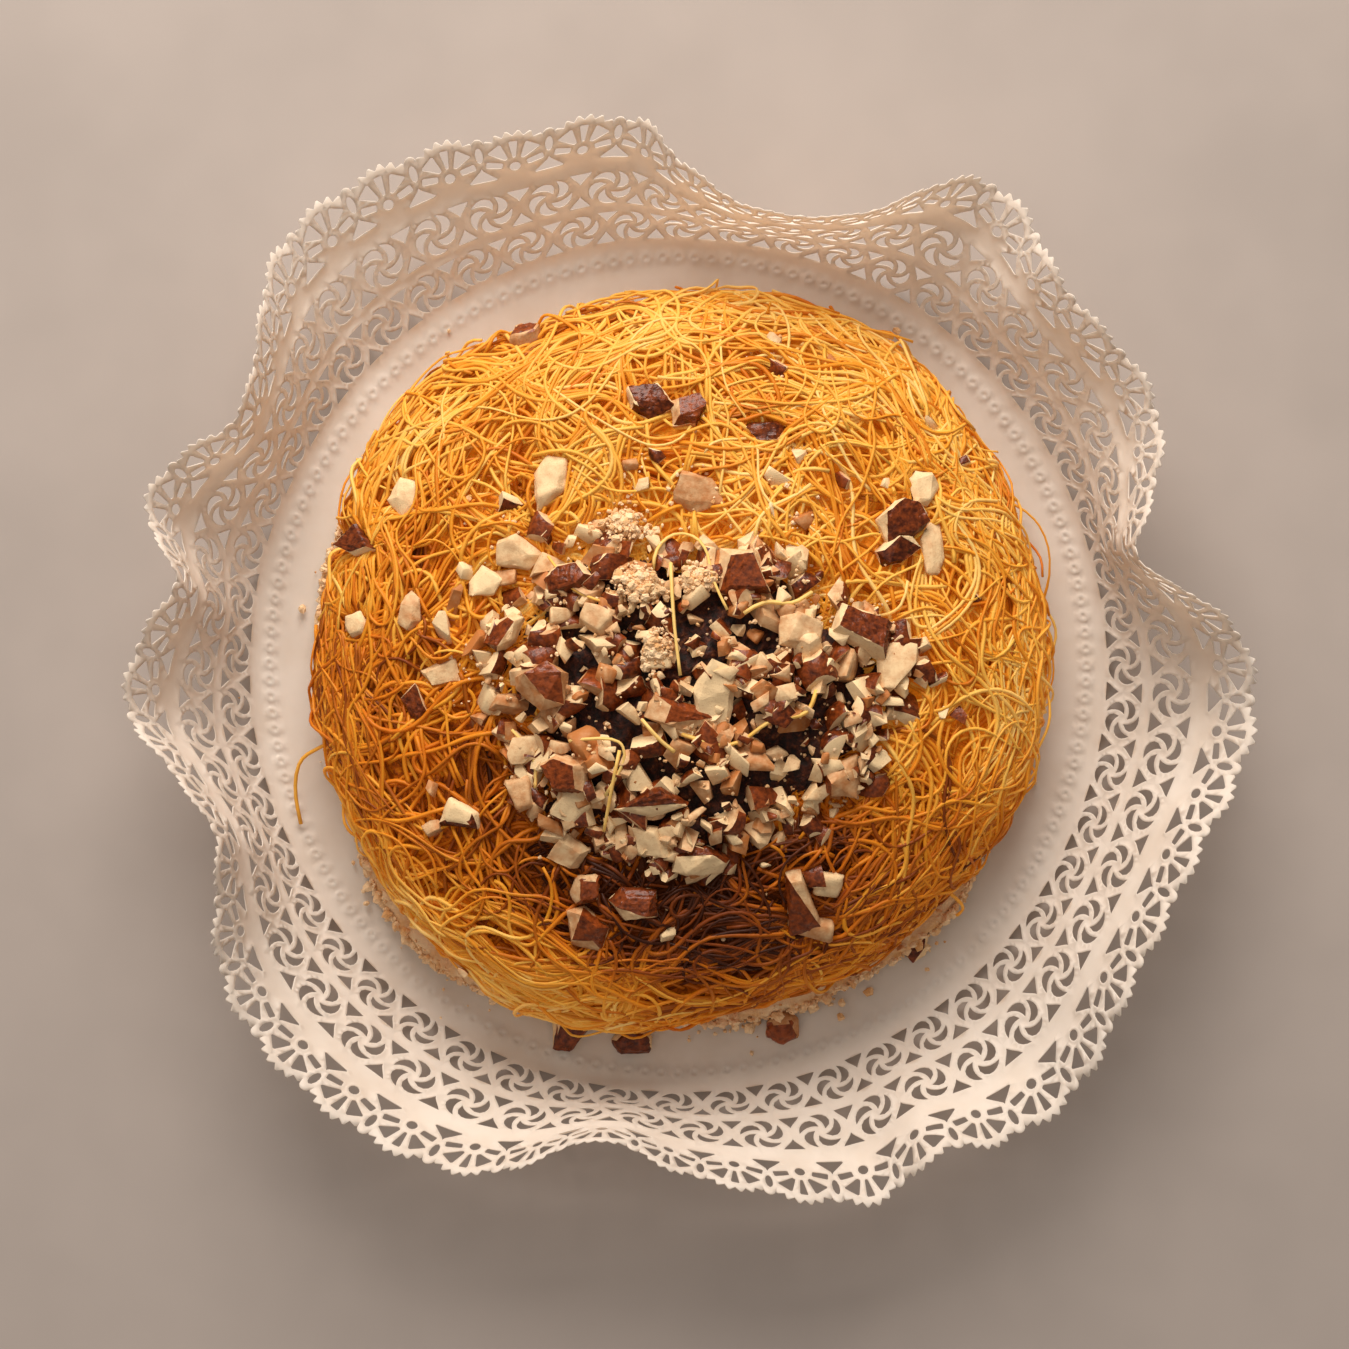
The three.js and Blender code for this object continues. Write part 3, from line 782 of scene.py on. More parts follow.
class LacePattern:
    """One repeat of the die-cut lace, drawn flat.

    Points are (across, radius) in millimetres. Across is measured along the circle that goes
    through the motif's own centre.
    """

    REPEATS = 52
    RING_RADIUS = 118.4
    INNER_WHEEL_RADIUS = 130.6
    OUTER_WHEEL_RADIUS = 146.4
    HUB_RADIUS = 162.2
    INNER_EDGE = 113.0
    PLANE_RADIUS = 146.0
    PRESSED_RADIUS = 1.35
    HUB_HOLE_RADIUS = 1.62
    SCALLOP_RADIUS = 171.2

    def __init__(self) -> None:
        """Draws the pressed rings, the holes and the scalloped edge."""
        self.holes: list[Array] = []
        self.pressed = self._small_rings()
        self._wheel(0.0, self.INNER_WHEEL_RADIUS, 5.7, 20)
        self._wheel(0.5, self.OUTER_WHEEL_RADIUS, 6.5, 50)
        self._gap_triangles(0.5, self.INNER_WHEEL_RADIUS, 5.9, 2.9, 4.0)
        self._gap_triangles(0.0, self.OUTER_WHEEL_RADIUS, 6.7, 3.3, 4.5)
        self._fan()
        self.edge = self._scallops()

    def pitch(self, radius: float) -> float:
        """Width of one repeat at a radius."""
        return FULL_TURN * radius / self.REPEATS

    def _cut(self, points: Array, turn_share: float, radius: float) -> None:
        """Adds a hole.

        Args:
            points: its outline about its own centre.
            turn_share: the centre's place across, as a share of the repeat.
            radius: the centre's distance from the paper's middle.
        """
        across = points[:, 0] * self.PLANE_RADIUS / radius + turn_share * self.pitch(self.PLANE_RADIUS)
        self.holes.append(np.stack([across, points[:, 1] + radius], 1))

    def _small_rings(self) -> list[Array]:
        """Three small pressed rings to the repeat, where the lace begins."""
        turn = np.arange(10) / 10 * FULL_TURN
        ring = self.PRESSED_RADIUS * compass(turn)
        widen = self.PLANE_RADIUS / self.RING_RADIUS
        return [
            ring * [widen, 1] + [place / 3 * self.pitch(self.PLANE_RADIUS), self.RING_RADIUS]
            for place in (-1, 0, 1)
        ]

    def _wheel(self, share: float, radius: float, size: float, start: float) -> None:
        """A pinwheel of five crescent holes that sweep clockwise from its middle to its rim."""
        inner, sweep = 0.26 * size, math.radians(90)
        t = np.linspace(0, 1, 8)
        slow = inner + (size - inner) * t ** 1.9
        fast = inner + (size - inner) * (1 - (1 - t) ** 3.8)
        reach = np.concatenate([slow, fast[-2:0:-1]])
        along = np.concatenate([t, t[-2:0:-1]])
        for blade in range(5):
            turn = math.radians(start) + blade * FULL_TURN / 5 - sweep * along
            self._cut(reach[:, None] * compass(turn), share, radius)

    def _gap_triangles(self, share: float, radius: float, rim: float, half: float, depth: float) -> None:
        """Two hollow-sided triangles in the gap between neighbouring pinwheels."""
        t = np.linspace(0, 1, 6)
        for side in (-1, 1):
            flank_x = half * (1 - t) ** 1.35
            flank_y = side * (rim - depth * t ** 0.8)
            right = np.stack([flank_x, flank_y], 1)
            left = np.stack([-flank_x, flank_y], 1)[-2::-1]
            self._cut(np.concatenate([right, left]), share, radius)

    def _fan(self) -> None:
        """A round hub with five slots fanning outward, and the holes between two fans."""
        turn = np.arange(12) / 12 * FULL_TURN
        self._cut(self.HUB_HOLE_RADIUS * compass(turn), 0, self.HUB_RADIUS)
        slots = (  # degrees from straight out, near and far ends, half widths there
            (0, 3.3, 9.4, 0.45, 1.3), (37, 3.6, 9.2, 0.55, 2.6), (-37, 3.6, 9.2, 0.55, 2.6),
            (77, 3.6, 8.4, 1.0, 1.2), (-77, 3.6, 8.4, 1.0, 1.2),
        )
        for degrees, near, far, near_half, far_half in slots:
            corners = np.array([[-near_half, near], [near_half, near], [far_half, far], [-far_half, far]])
            outline = self._eased(corners)
            lean = math.radians(degrees)
            x = outline[:, 0] * math.cos(lean) + outline[:, 1] * math.sin(lean)
            y = outline[:, 1] * math.cos(lean) - outline[:, 0] * math.sin(lean)
            self._cut(np.stack([x, y], 1), 0, self.HUB_RADIUS)
        triangle = np.array([[-4.9, -4.0], [4.9, -4.0], [0.0, 0.4]])
        self._cut(self._eased(triangle), 0.5, self.HUB_RADIUS)
        t = np.linspace(0, math.pi, 6)[:-1]
        side = np.stack([1.15 * np.sin(t), 5.6 - 2.8 * np.cos(t)], 1)
        leaf = np.concatenate([side, [[0, 8.4]], (side * [-1, 1])[:0:-1]])
        self._cut(leaf, 0.5, self.HUB_RADIUS)

    @staticmethod
    def _eased(corners: Array) -> Array:
        """An outline with its sides split and its corners slightly cut."""
        points = []
        for index, corner in enumerate(corners):
            before, after = corners[index - 1], corners[(index + 1) % len(corners)]
            points += [corner + 0.1 * (before - corner), corner + 0.1 * (after - corner)]
            points.append((corner + after) / 2)
        return np.array(points)

    def _scallops(self) -> Array:
        """The outer edge over one repeat, from the middle of one leaf to the next."""
        teeth = [  # degrees from straight out, reach
            (degrees + part, reach)
            for degrees in (-40, -24, -8, 8, 24, 40)
            for part, reach in ((-8, 11.0), (-1.5, 12.7), (1.5, 12.7))
        ]
        degrees, reach = np.array(teeth + [(48, 11.0)]).T
        x, y = reach * np.sin(np.radians(degrees)), reach * np.cos(np.radians(degrees))
        half = self.pitch(self.SCALLOP_RADIUS) / 2
        tip = np.radians(np.linspace(0, 75, 4))
        leaf_x, leaf_y = half - 1.9 * np.sin(tip), 8.6 + 2.4 * np.cos(tip)
        keep = np.abs(x) < half - 1.9
        across = np.concatenate([-leaf_x, x[keep], leaf_x[::-1]])
        outward = np.concatenate([leaf_y, y[keep], leaf_y[::-1]])
        scale = self.PLANE_RADIUS / self.SCALLOP_RADIUS
        return np.stack([across * scale, outward + self.HUB_RADIUS], 1)


def inside(points: Array, outline: Array) -> Array:
    """Which points lie inside a closed outline."""
    x, y = points[:, 0][:, None], points[:, 1][:, None]
    x0, y0 = outline[:, 0][None], outline[:, 1][None]
    x1, y1 = np.roll(outline[:, 0], -1)[None], np.roll(outline[:, 1], -1)[None]
    crosses = (y0 > y) != (y1 > y)
    with np.errstate(divide="ignore", invalid="ignore"):
        where = x0 + (y - y0) * (x1 - x0) / (y1 - y0)
    return (np.count_nonzero(crosses & (x < where), axis=1) % 2).astype(bool)


@dataclass
class LacePaper:
    """The lace paper's mesh: cut, embossed, folded and given its thickness."""

    form: PaperForm = PaperForm()
    thickness: float = 0.34
    lip_height: float = 0.7
    lip_width: float = 0.9
    middle_lift: float = 0.2
    lip_step: float = 0.62
    edge_lip_share: float = 0.6
    ring_floor_share: float = 0.45
    grid: float = 2.1
    grid_jitter: float = 0.2
    lip_room: float = 0.3
    grid_room: float = 0.8
    nearest: float = 0.42
    merged_within: float = 0.01
    slope_step: float = 0.05
    disc_rings: tuple[float, ...] = (104, 88, 60, 30)
    copies: range = range(-2, 3)

    def build(self) -> None:
        """Builds and dresses the paper."""
        radius, degrees, lip, faces = self._flat()
        edge = self.form.even_edge()
        points = self.form.fold(radius, degrees, edge)
        step = self.slope_step
        outward = self.form.fold(radius + step, degrees, edge) - self.form.fold(radius - step, degrees, edge)
        around = self.form.fold(radius, degrees + step, edge) - self.form.fold(radius, degrees - step, edge)
        normal = np.cross(outward, around)
        normal[radius < 1] = (0, 0, 1)
        normal = unit(normal)
        points = points + normal * (self.middle_lift + lip)[:, None]
        half = normal * self.thickness / 2
        count = len(points)
        sides = self._open_edges(faces)
        walls = np.concatenate([
            np.stack([sides[:, 1], sides[:, 0], sides[:, 0] + count], 1),
            np.stack([sides[:, 1], sides[:, 0] + count, sides[:, 1] + count], 1),
        ])
        shape = Shape(
            np.concatenate([points + half, points - half]),
            np.concatenate([faces, faces[:, ::-1] + count, walls]),
        )
        piece = shape.piece("lace_paper_cut", PaperFinish().make(), "lace_paper")
        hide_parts("lace_paper")

    @staticmethod
    def _open_edges(faces: Array) -> Array:
        """Directed edges that only one face has."""
        edges = np.concatenate([faces[:, [0, 1]], faces[:, [1, 2]], faces[:, [2, 0]]])
        _, first, counts = np.unique(np.sort(edges, axis=1), axis=0, return_index=True, return_counts=True)
        return edges[first[counts == 1]]

    def _flat(self) -> tuple[Array, Array, Array, Array]:
        """The whole flat paper.

        Returns:
            Each vertex's radius, its degrees, its embossed height, and the triangles.
        """
        pattern = LacePattern()
        points, lip, faces = self._repeat(pattern)
        turn = points[:, 0] / pattern.PLANE_RADIUS
        whole_turn = np.concatenate([turn + FULL_TURN * k / pattern.REPEATS for k in range(pattern.REPEATS)])
        radius = np.tile(points[:, 1], pattern.REPEATS)
        lip = np.tile(lip, pattern.REPEATS)
        faces = np.concatenate([faces + k * len(points) for k in range(pattern.REPEATS)])
        columns = 6 * pattern.REPEATS
        rings = np.array([pattern.INNER_EDGE, *self.disc_rings])
        disc_turn = np.tile(np.arange(columns) / columns * FULL_TURN, len(rings))
        disc_radius = np.repeat(rings, columns)
        column = np.arange(columns)
        after = (column + 1) % columns
        start = len(radius)
        disc = []
        for ring in range(len(rings) - 1):
            a, b = start + ring * columns + column, start + ring * columns + after
            disc += [np.stack([a, b, b + columns], 1), np.stack([a, b + columns, a + columns], 1)]
        last = start + (len(rings) - 1) * columns
        hub = start + len(rings) * columns
        disc.append(np.stack([last + column, last + after, np.full(columns, hub)], 1))
        whole_turn = np.concatenate([whole_turn, disc_turn, [0]])
        radius = np.concatenate([radius, disc_radius, [0]])
        lip = np.concatenate([lip, np.zeros(len(disc_turn) + 1)])
        faces = np.concatenate([faces, *disc])
        cells = np.round(radius[:, None] * compass(whole_turn) / self.merged_within).astype(np.int64)
        _, first, back = np.unique(cells, axis=0, return_index=True, return_inverse=True)
        faces = back.ravel()[faces]
        solid = (faces[:, 0] != faces[:, 1]) & (faces[:, 1] != faces[:, 2]) & (faces[:, 2] != faces[:, 0])
        return radius[first], np.degrees(whole_turn[first]), lip[first], faces[solid]

    def _repeat(self, pattern: LacePattern) -> tuple[Array, Array, Array]:
        """Triangles of one repeat, the middle one of five side by side so that repeats fit together.

        Returns:
            Points in the pattern's plane, their embossed heights and the triangles.
        """
        pitch = pattern.pitch(pattern.PLANE_RADIUS)
        points, edges = self._drawing(pattern, pitch)
        made = delaunay_2d_cdt([Vector(point) for point in points], edges, [], 0, 1e-5)
        places = np.array(made[0])
        faces = np.array([face for face in made[2] if len(face) == 3])
        shifts = [[copy * pitch, 0] for copy in self.copies]
        outlines = [hole + shift for shift in shifts for hole in pattern.holes]
        ridges = [ring + shift for shift in shifts for ring in pattern.pressed]
        rim = np.concatenate([pattern.edge[:-1] + shift for shift in shifts])
        border = np.concatenate([rim, [[rim[-1, 0], pattern.INNER_EDGE], [rim[0, 0], pattern.INNER_EDGE]]])
        middles = places[faces].mean(1)
        keep = (middles[:, 0] >= -0.5 * pitch) & (middles[:, 0] < 0.5 * pitch)
        keep &= middles[:, 1] > pattern.INNER_EDGE
        keep[keep] = inside(middles[keep], border)
        for outline in outlines:
            low, high = outline.min(0), outline.max(0)
            close = keep & np.all((middles > low) & (middles < high), axis=1)
            keep[close] &= ~inside(middles[close], outline)
        used, back = np.unique(faces[keep], return_inverse=True)
        faces = back.reshape(-1, 3)
        places = places[used]
        corner = places[faces]
        side_a, side_b = corner[:, 1] - corner[:, 0], corner[:, 2] - corner[:, 0]
        clockwise = side_a[:, 0] * side_b[:, 1] - side_a[:, 1] * side_b[:, 0] < 0
        faces[~clockwise] = faces[~clockwise][:, ::-1]
        lip = np.clip(1 - self._distance(places, outlines + ridges) / self.lip_width, 0, 1) ** 0.6
        rim_lip = np.clip(1 - self._distance(places, [rim]) / self.lip_width, 0, 1)
        return places, self.lip_height * np.maximum(lip, self.edge_lip_share * rim_lip), faces

    def _drawing(self, pattern: LacePattern, pitch: float) -> tuple[list[Array], list[tuple[int, int]]]:
        """Five repeats side by side.

        Args:
            pattern: what one repeat holds.
            pitch: the width of one repeat.

        Returns:
            Points, and the pairs of them that a line has to join.
        """
        inner = np.stack([np.arange(-3, 3) / 6 * pitch, np.full(6, pattern.INNER_EDGE)], 1)
        free = self._free_points(pattern, pitch)
        outlines = [(hole, []) for hole in pattern.holes]
        for ring in pattern.pressed:
            middle = ring.mean(0)
            outlines.append((ring, [*(middle + self.ring_floor_share * (ring[::2] - middle)), middle]))
        points, edges = [], []
        for shift in ([copy * pitch, 0] for copy in self.copies):
            for outline, floor in outlines:
                start, count = len(points), len(outline)
                points += [point + shift for point in (*outline, *floor)]
                edges += [(start + k, start + (k + 1) % count) for k in range(count)]
        for line in (inner, pattern.edge[:-1]):
            start = len(points)
            for copy in self.copies:
                points += list(line + [copy * pitch, 0])
            edges += [(k, k + 1) for k in range(start, len(points) - 1)]
        points += [point + [copy * pitch, 0] for copy in self.copies for point in free]
        return points, edges

    @staticmethod
    def _distance(points: Array, outlines: Sequence[Array]) -> Array:
        """Distance from each point to the nearest outline."""
        best = np.full(len(points), 1e9)
        for outline in outlines:
            start, end = outline, np.roll(outline, -1, axis=0)
            side = end - start
            length = np.maximum((side ** 2).sum(1), 1e-12)
            offset = points[:, None] - start[None]
            along = np.clip((offset * side[None]).sum(2) / length, 0, 1)
            gap = offset - along[..., None] * side[None]
            best = np.minimum(best, np.sqrt((gap ** 2).sum(2)).min(1))
        return best

    def _free_points(self, pattern: LacePattern, pitch: float) -> Array:
        """Points between the holes of one repeat, where the lips fall and on the plain bands."""
        rng = np.random.default_rng(5)
        drawn = pattern.holes + pattern.pressed
        outlines = [outline + [copy * pitch, 0] for copy in (-1, 0, 1) for outline in drawn]
        edge_line = np.concatenate([pattern.edge[:-1] + [copy * pitch, 0] for copy in (-1, 0, 1)])
        wanted = []
        for hole in drawn:
            side = np.roll(hole, -1, axis=0) - hole
            out = unit(np.stack([side[:, 1], -side[:, 0]], 1))
            area = np.sum(hole[:, 0] * np.roll(hole[:, 1], -1) - np.roll(hole[:, 0], -1) * hole[:, 1])
            wanted.append(hole + side / 2 + out * np.sign(area) * self.lip_step)
        low, high = pattern.INNER_EDGE, pattern.HUB_RADIUS + 12
        columns = np.arange(-0.5 * pitch, 0.5 * pitch, self.grid)
        across, outward = np.meshgrid(columns, np.arange(low, high, self.grid))
        field_points = np.stack([across.ravel(), outward.ravel()], 1)
        wanted.append(field_points + rng.uniform(-self.grid_jitter, self.grid_jitter, field_points.shape))
        chosen: list[Array] = []
        for group, room in zip(wanted, [self.lip_room] * len(drawn) + [self.grid_room]):
            away = np.minimum(self._distance(group, outlines), self._distance(group, [edge_line]))
            fits = (away > room) & (group[:, 1] > low + 0.6) & (group[:, 1] < high)
            for point in group[fits]:
                wrapped = [(point[0] + 0.5 * pitch) % pitch - 0.5 * pitch, point[1]]
                others = np.array(chosen) if chosen else np.full((1, 2), 1e9)
                across_gap = np.abs(others[:, 0] - wrapped[0])
                across_gap = np.minimum(across_gap, pitch - across_gap)
                if np.hypot(across_gap, others[:, 1] - wrapped[1]).min() > self.nearest:
                    chosen.append(np.array(wrapped))
        return np.array(chosen)


# ---- Layer of ground almond ----


def scattered_grains(centres: Array, size: Array, rng: np.random.Generator, level: int = 1) -> Shape:
    """Small jagged grains.

    Args:
        centres: their middles.
        size: their widths.
        rng: where their shapes come from.
        level: how finely each is made.

    Returns:
        All of them as one shape.
    """
    directions, faces = ball(level)
    count, corners = len(centres), len(directions)
    jag = rng.uniform(0.62 + 0.12 * (level - 1), 1.2, (count, corners, 1))
    squash = rng.uniform(0.6, 1.1, (count, 1, 3))
    vertices = centres[:, None] + directions[None] * jag * squash * size[:, None, None] / 2
    all_faces = (faces[None] + (np.arange(count) * corners)[:, None, None]).reshape(-1, 3)
    tone = np.repeat(rng.random(count), corners)
    return Shape(vertices.reshape(-1, 3), all_faces, {"tone": tone})


@dataclass
class CrumbBase:
    """The layer of ground almond under the pasta, with loose grains along its side."""

    form: CakeForm
    columns: int = 420
    profile: tuple[tuple[float, float], ...] = (  # inset from the outline, share of the height
        (16, 0.92), (11, 0.94), (7, 0.96), (4.5, 0.96), (2.6, 0.93), (1.4, 0.84), (0.7, 0.68),
        (0.4, 0.5), (0.4, 0.33), (0.7, 0.17), (1.2, 0.04), (4, 0.0),
    )
    grains: int = 2000
    grain_size: tuple[float, float] = (0.7, 1.8)
    clumps: int = 950
    clump_size: tuple[float, float] = (1.8, 4.4)
    fallen_share: float = 0.06

    def build(self) -> None:
        """Builds the layer and its grains."""
        floor, height = self.form.crumb_floor, self.form.crumb_height
        profile = np.array(self.profile)
        azimuth = np.arange(self.columns) / self.columns * FULL_TURN
        outline = self.form.crumb_outline(azimuth)
        rings = []
        for inset, level in profile:
            x, y = self.form.around(azimuth, outline - inset - 0.4)
            rings.append(np.stack([x, y, np.full_like(x, floor + level * height)], 1))
        rings = np.array(rings)
        rough = ripple(rings, 1.3, 11) * 0.45 + ripple(rings, 3.5, 12) * 0.7
        outward = np.stack([np.cos(azimuth), np.sin(azimuth), np.zeros_like(azimuth)], 1)
        shown = np.linspace(0.3, 1, len(rings)) * (profile[:, 0] < 6)
        rings += outward[None] * (rough * shown[:, None])[..., None]
        rings[1:-2, :, 2] += 0.5 * rough[1:-2]
        rings[..., 2] = np.clip(rings[..., 2], floor, floor + height)
        vertices, faces = body_of_rings(rings)
        core = Shape(vertices, faces, {"tone": 0.5 + 0.5 * ripple(vertices, 5.0, 13)})
        piece = core.piece("crumb_layer", CrumbFinish("crumb_layer").make(), "ground_almond")
        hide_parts("crumb_base")
        rng = np.random.default_rng(21)
        grains = self._strewn(self.grains, self.grain_size, rng)
        clumps = self._strewn(self.clumps, self.clump_size, rng)
        shape = Shape.joined([grains, clumps])
        shape.piece("crumb_grains", CrumbFinish("crumb_grains").make(), "ground_almond", 0)

    def _strewn(self, count: int, sizes: tuple[float, float], rng: np.random.Generator) -> Shape:
        """Grains on the side of the layer and over its rim, and a few fallen on the paper.

        Args:
            count: how many.
            sizes: the least and the greatest width.
            rng: where their places come from.

        Returns:
            The grains as one shape.
        """
        azimuth = rng.uniform(0, FULL_TURN, count)
        outline = self.form.crumb_outline(azimuth)
        share = rng.uniform(0.05, 0.97, count)
        size = rng.uniform(*sizes, count)
        over_rim = np.maximum(share - 0.8, 0) * rng.random(count)
        reach = outline - 0.6 + rng.normal(0, 0.3, count) - 28 * over_rim
        level = self.form.crumb_height * share
        fallen = rng.random(count) < self.fallen_share
        reach[fallen] = outline[fallen] + rng.exponential(2.2, fallen.sum())
        level[fallen] = size[fallen] * 0.4
        x, y = self.form.around(azimuth, reach)
        shape = scattered_grains(np.stack([x, y, self.form.crumb_floor + level], 1), size, rng)
        shape.vertices[:, 2] = np.maximum(shape.vertices[:, 2], self.form.crumb_floor - 0.6)
        return shape


# ---- Pasta ----


@dataclass(frozen=True)
class StrandBatch:
    """Strands that are laid one after another, in bundles or one by one."""

    bundles: int
    strands: tuple[int, int]
    length: tuple[float, float]
    sway: float
    hooks: float
    arch: float
    toast_and_shade: float


@dataclass
class Strand:
    """One strand: the points of its middle line, the side that is up, and its browning with painted shade."""

    points: Array
    up: Array
    toast_and_shade: Array
    scale: float = 1.0


@dataclass
class NoodleNest:
    """The dome of pasta: a smaller uneven core under strands that are laid on each other."""

    form: CakeForm
    dome: DomeMap
    width: float = 1.2
    thickness: float = 0.86
    spacing: float = 1.3
    step: float = 1.2
    depth: float = 3.2
    rim_depth: float = 2.2
    cell: float = 0.7
    highest: float = 1.8
    under_heap: float = -1.2
    under_piece: float = -1.6
    under_bit: float = 0.1
    rim_pull: float = 1 / 26
    turned_under: float = 0.55
    flare: float = 1.1
    most_flare: float = 3.6
    flare_band: tuple[float, float] = (20.0, 14.0)  # where it begins from the rim, length to its full size
    flare_wave: tuple[float, float] = (5.0, 15.0)
    bridging: float = 0.55  # the rest of a strand's height sags onto what is below it
    arch_height: tuple[float, float] = (0.5, 2.6)
    bend_length: tuple[float, float] = (22.0, 80.0)
    most_hooks: int = 4
    hook_radius: tuple[float, float] = (3.2, 8.0)
    hook_length: tuple[float, float] = (3.0, 6.0)
    lying_round_from: float = 62.0
    stray_scale: float = 0.85
    over_heap_lift: float = 2.0
    batches: tuple[StrandBatch, ...] = (
        StrandBatch(116, (4, 8), (80, 170), 0.04, 0.05, 0.0, 0.14),
        StrandBatch(260, (1, 1), (60, 160), 0.06, 0.5, 0.15, 0.04),
        StrandBatch(110, (3, 7), (70, 170), 0.05, 0.1, 0.2, 0.0),
        StrandBatch(430, (1, 1), (40, 130), 0.075, 1.1, 0.5, -0.06),
    )
    strays: tuple[tuple[tuple[float, float, float], ...], ...] = (
        ((22, 101, 21), (34, 99, 22), (47, 96.5, 21), (54, 95.5, 20.5), (61, 94, 18.5), (67, 92.2, 16)),
        ((70, 72, 27), (79, 63, 24), (86, 56, 21), (92, 50, 19), (97, 46.4, 17.5)),
        ((92, 47, 19), (98, 45, 17), (103.5, 40, 15.5), (106.3, 33, 14.5), (106.6, 25, 12), (104, 15, 8)),
        (
            (91, 8, 22), (97, 12, 20), (103, 10, 18), (107, 4, 16), (107.6, -4, 14.5), (105, -11, 13),
            (99, -16, 15),
        ),
        ((92, -24, 18), (99, -27, 19), (103, -31, 17), (101, -36, 14), (95, -39, 13)),
        (
            (-96, -20, 17), (-103, -24, 12), (-108, -26, 11), (-110, -31, 8.5), (-110.5, -38, 5),
            (-109, -46, 3),
        ),
        ((-20, -94, 17), (-28, -98, 13), (-36, -99.5, 11), (-44, -99.5, 9), (-50, -97.5, 10), (-53, -93, 13)),
        ((70, -58, 22), (76, -64, 18), (80, -67, 15), (83, -70, 12), (80, -72, 10)),
        ((16, 86, 24), (22, 93, 24), (25, 98, 26), (26, 102, 29)),
    )
    over_heap: tuple[tuple[tuple[float, float], ...], ...] = (
        ((-2, 28), (-1.6, 18), (-0.8, 8), (0.6, -3)),
        ((-7, 26), (-6.5, 32), (-1.5, 36.8), (5, 36), (8.5, 31), (9, 24), (13.5, 15)),
        ((-36, 30), (-33, 26), (-29, 20), (-20, 17)),
        ((-30, -21), (-22, -20), (-15, -20.5), (-14, -26), (-20, -36)),
        ((-46, -18), (-41, -23), (-39, -28), (-39.5, -34)),
        ((1, -19), (9, -22), (17, -22), (25, -15), (36, -14), (38, -7)),
        ((-10, -15), (-5, -21), (-1, -24)),
        ((-16, -23.5), (-18, -33), (-20.5, -46)),
        ((18, 14), (24, 18), (31, 16), (37, 20)),
    )
    # Zones of darker or lighter pasta: oven browning, plus painted shade in the dark zones on the lower (-Y)
    # side, away from the window.
    browned_and_shaded: tuple[tuple[float, float, float, float], ...] = (  # x, y, radius, how much more or less
        (-80, -10, 40, 0.36), (-6, -66, 35, 0.7), (-58, -52, 28, 0.26), (46, -62, 34, 0.42),
        (88, -40, 30, 0.1), (-36, 66, 36, 0.06), (-84, 40, 26, 0.1), (20, 70, 24, 0.05),
        (-70, -80, 26, -0.14), (-20, -104, 26, -0.16), (66, 14, 30, 0.05),
    )
    shades: tuple[tuple[str, float, Colour], ...] = (  # name, browning and painted shade up to, glow
        ("noodles_straw", 0.28, linear(255, 214, 100)), ("noodles_golden", 0.38, linear(255, 190, 60)),
        ("noodles_orange", 0.56, linear(250, 150, 26)), ("noodles_toasted_and_shaded", 9.0, linear(170, 74, 8)),
    )

    def build(self) -> None:
        """Builds the core and every strand."""
        self._core()
        rng = np.random.default_rng(2024)
        self.half = self.dome.length + 6
        axis = np.arange(0, 2 * self.half, self.cell) + self.cell / 2 - self.half
        self.pile = -self._depth_at(np.hypot(*np.meshgrid(axis, axis, indexing="ij")))
        self.ceiling = self._ceiling(axis)
        strands = []
        for batch in self.batches:
            for bundle in self._bundles(batch, rng):
                tone = rng.normal(batch.toast_and_shade, 0.08)
                for plan in bundle:
                    strands.append(self._laid(plan, batch, tone, rng))
        for knots in self.strays:
            path = self._smooth_path(np.array(knots, float))
            strands.append(self._stray(path, rng.uniform(0.24, 0.4)))
        for knots in self.over_heap:
            path = self._smooth_path(np.array([(x, y, 0) for x, y in knots], float))
            path[:, 2] = self.form.top(path[:, 0], path[:, 1]) + self.over_heap_lift
            path[:, 2] = self._bridged(path[:, 2], 4)
            strands.append(self._stray(path, rng.uniform(-0.02, 0.16)))
        self._make_pieces(strands, rng)

    def _stray(self, path: Array, toast_and_shade: float) -> Strand:
        """A strand that lies off the dome, with its up side straight up."""
        upward = np.tile([0.0, 0.0, 1.0], (len(path), 1))
        return Strand(path, upward, np.full(len(path), toast_and_shade), self.stray_scale)

    def _ceiling(self, axis: Array) -> Array:
        """How far strands may stand off the dome: low under the heap and the larger pieces.

        Args:
            axis: the middles of the cells along x and y.

        Returns:
            A number for each cell.
        """
        x, y = np.meshgrid(axis, axis, indexing="ij")
        ceiling = np.full(x.shape, self.highest + self.thickness)
        ceiling[self.form.heap_share(x, y) > 0.06] = self.under_heap
        for node in sorted(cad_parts):
            if not node.startswith(("almond_pale", "almond_brown", "crumb_lump")):
                continue
            corners = [vertex.co.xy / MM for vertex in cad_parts[node].data.vertices]
            outline = np.array([corners[index] for index in convex_hull_2d(corners)])
            low, high = outline.min(0), outline.max(0)
            near = (x > low[0]) & (x < high[0]) & (y > low[1]) & (y < high[1])
            covered = inside(np.stack([x[near], y[near]], 1), outline)
            ceiling[near] = np.where(covered, self.under_piece, ceiling[near])
        for middle_x, middle_y, length, _ in AlmondHeap.placed:
            under = np.hypot(x - middle_x, y - middle_y) < 0.42 * length
            ceiling[under] = np.minimum(ceiling[under], self.under_bit)
        return ceiling

    def _depth_at(self, away: Array) -> Array:
        """Depth of the strands over the core, by distance down the dome from its middle."""
        share = np.clip((away / self.dome.length - 0.55) / 0.4, 0, 1)
        return self.depth + (self.rim_depth - self.depth) * share * share * (3 - 2 * share)

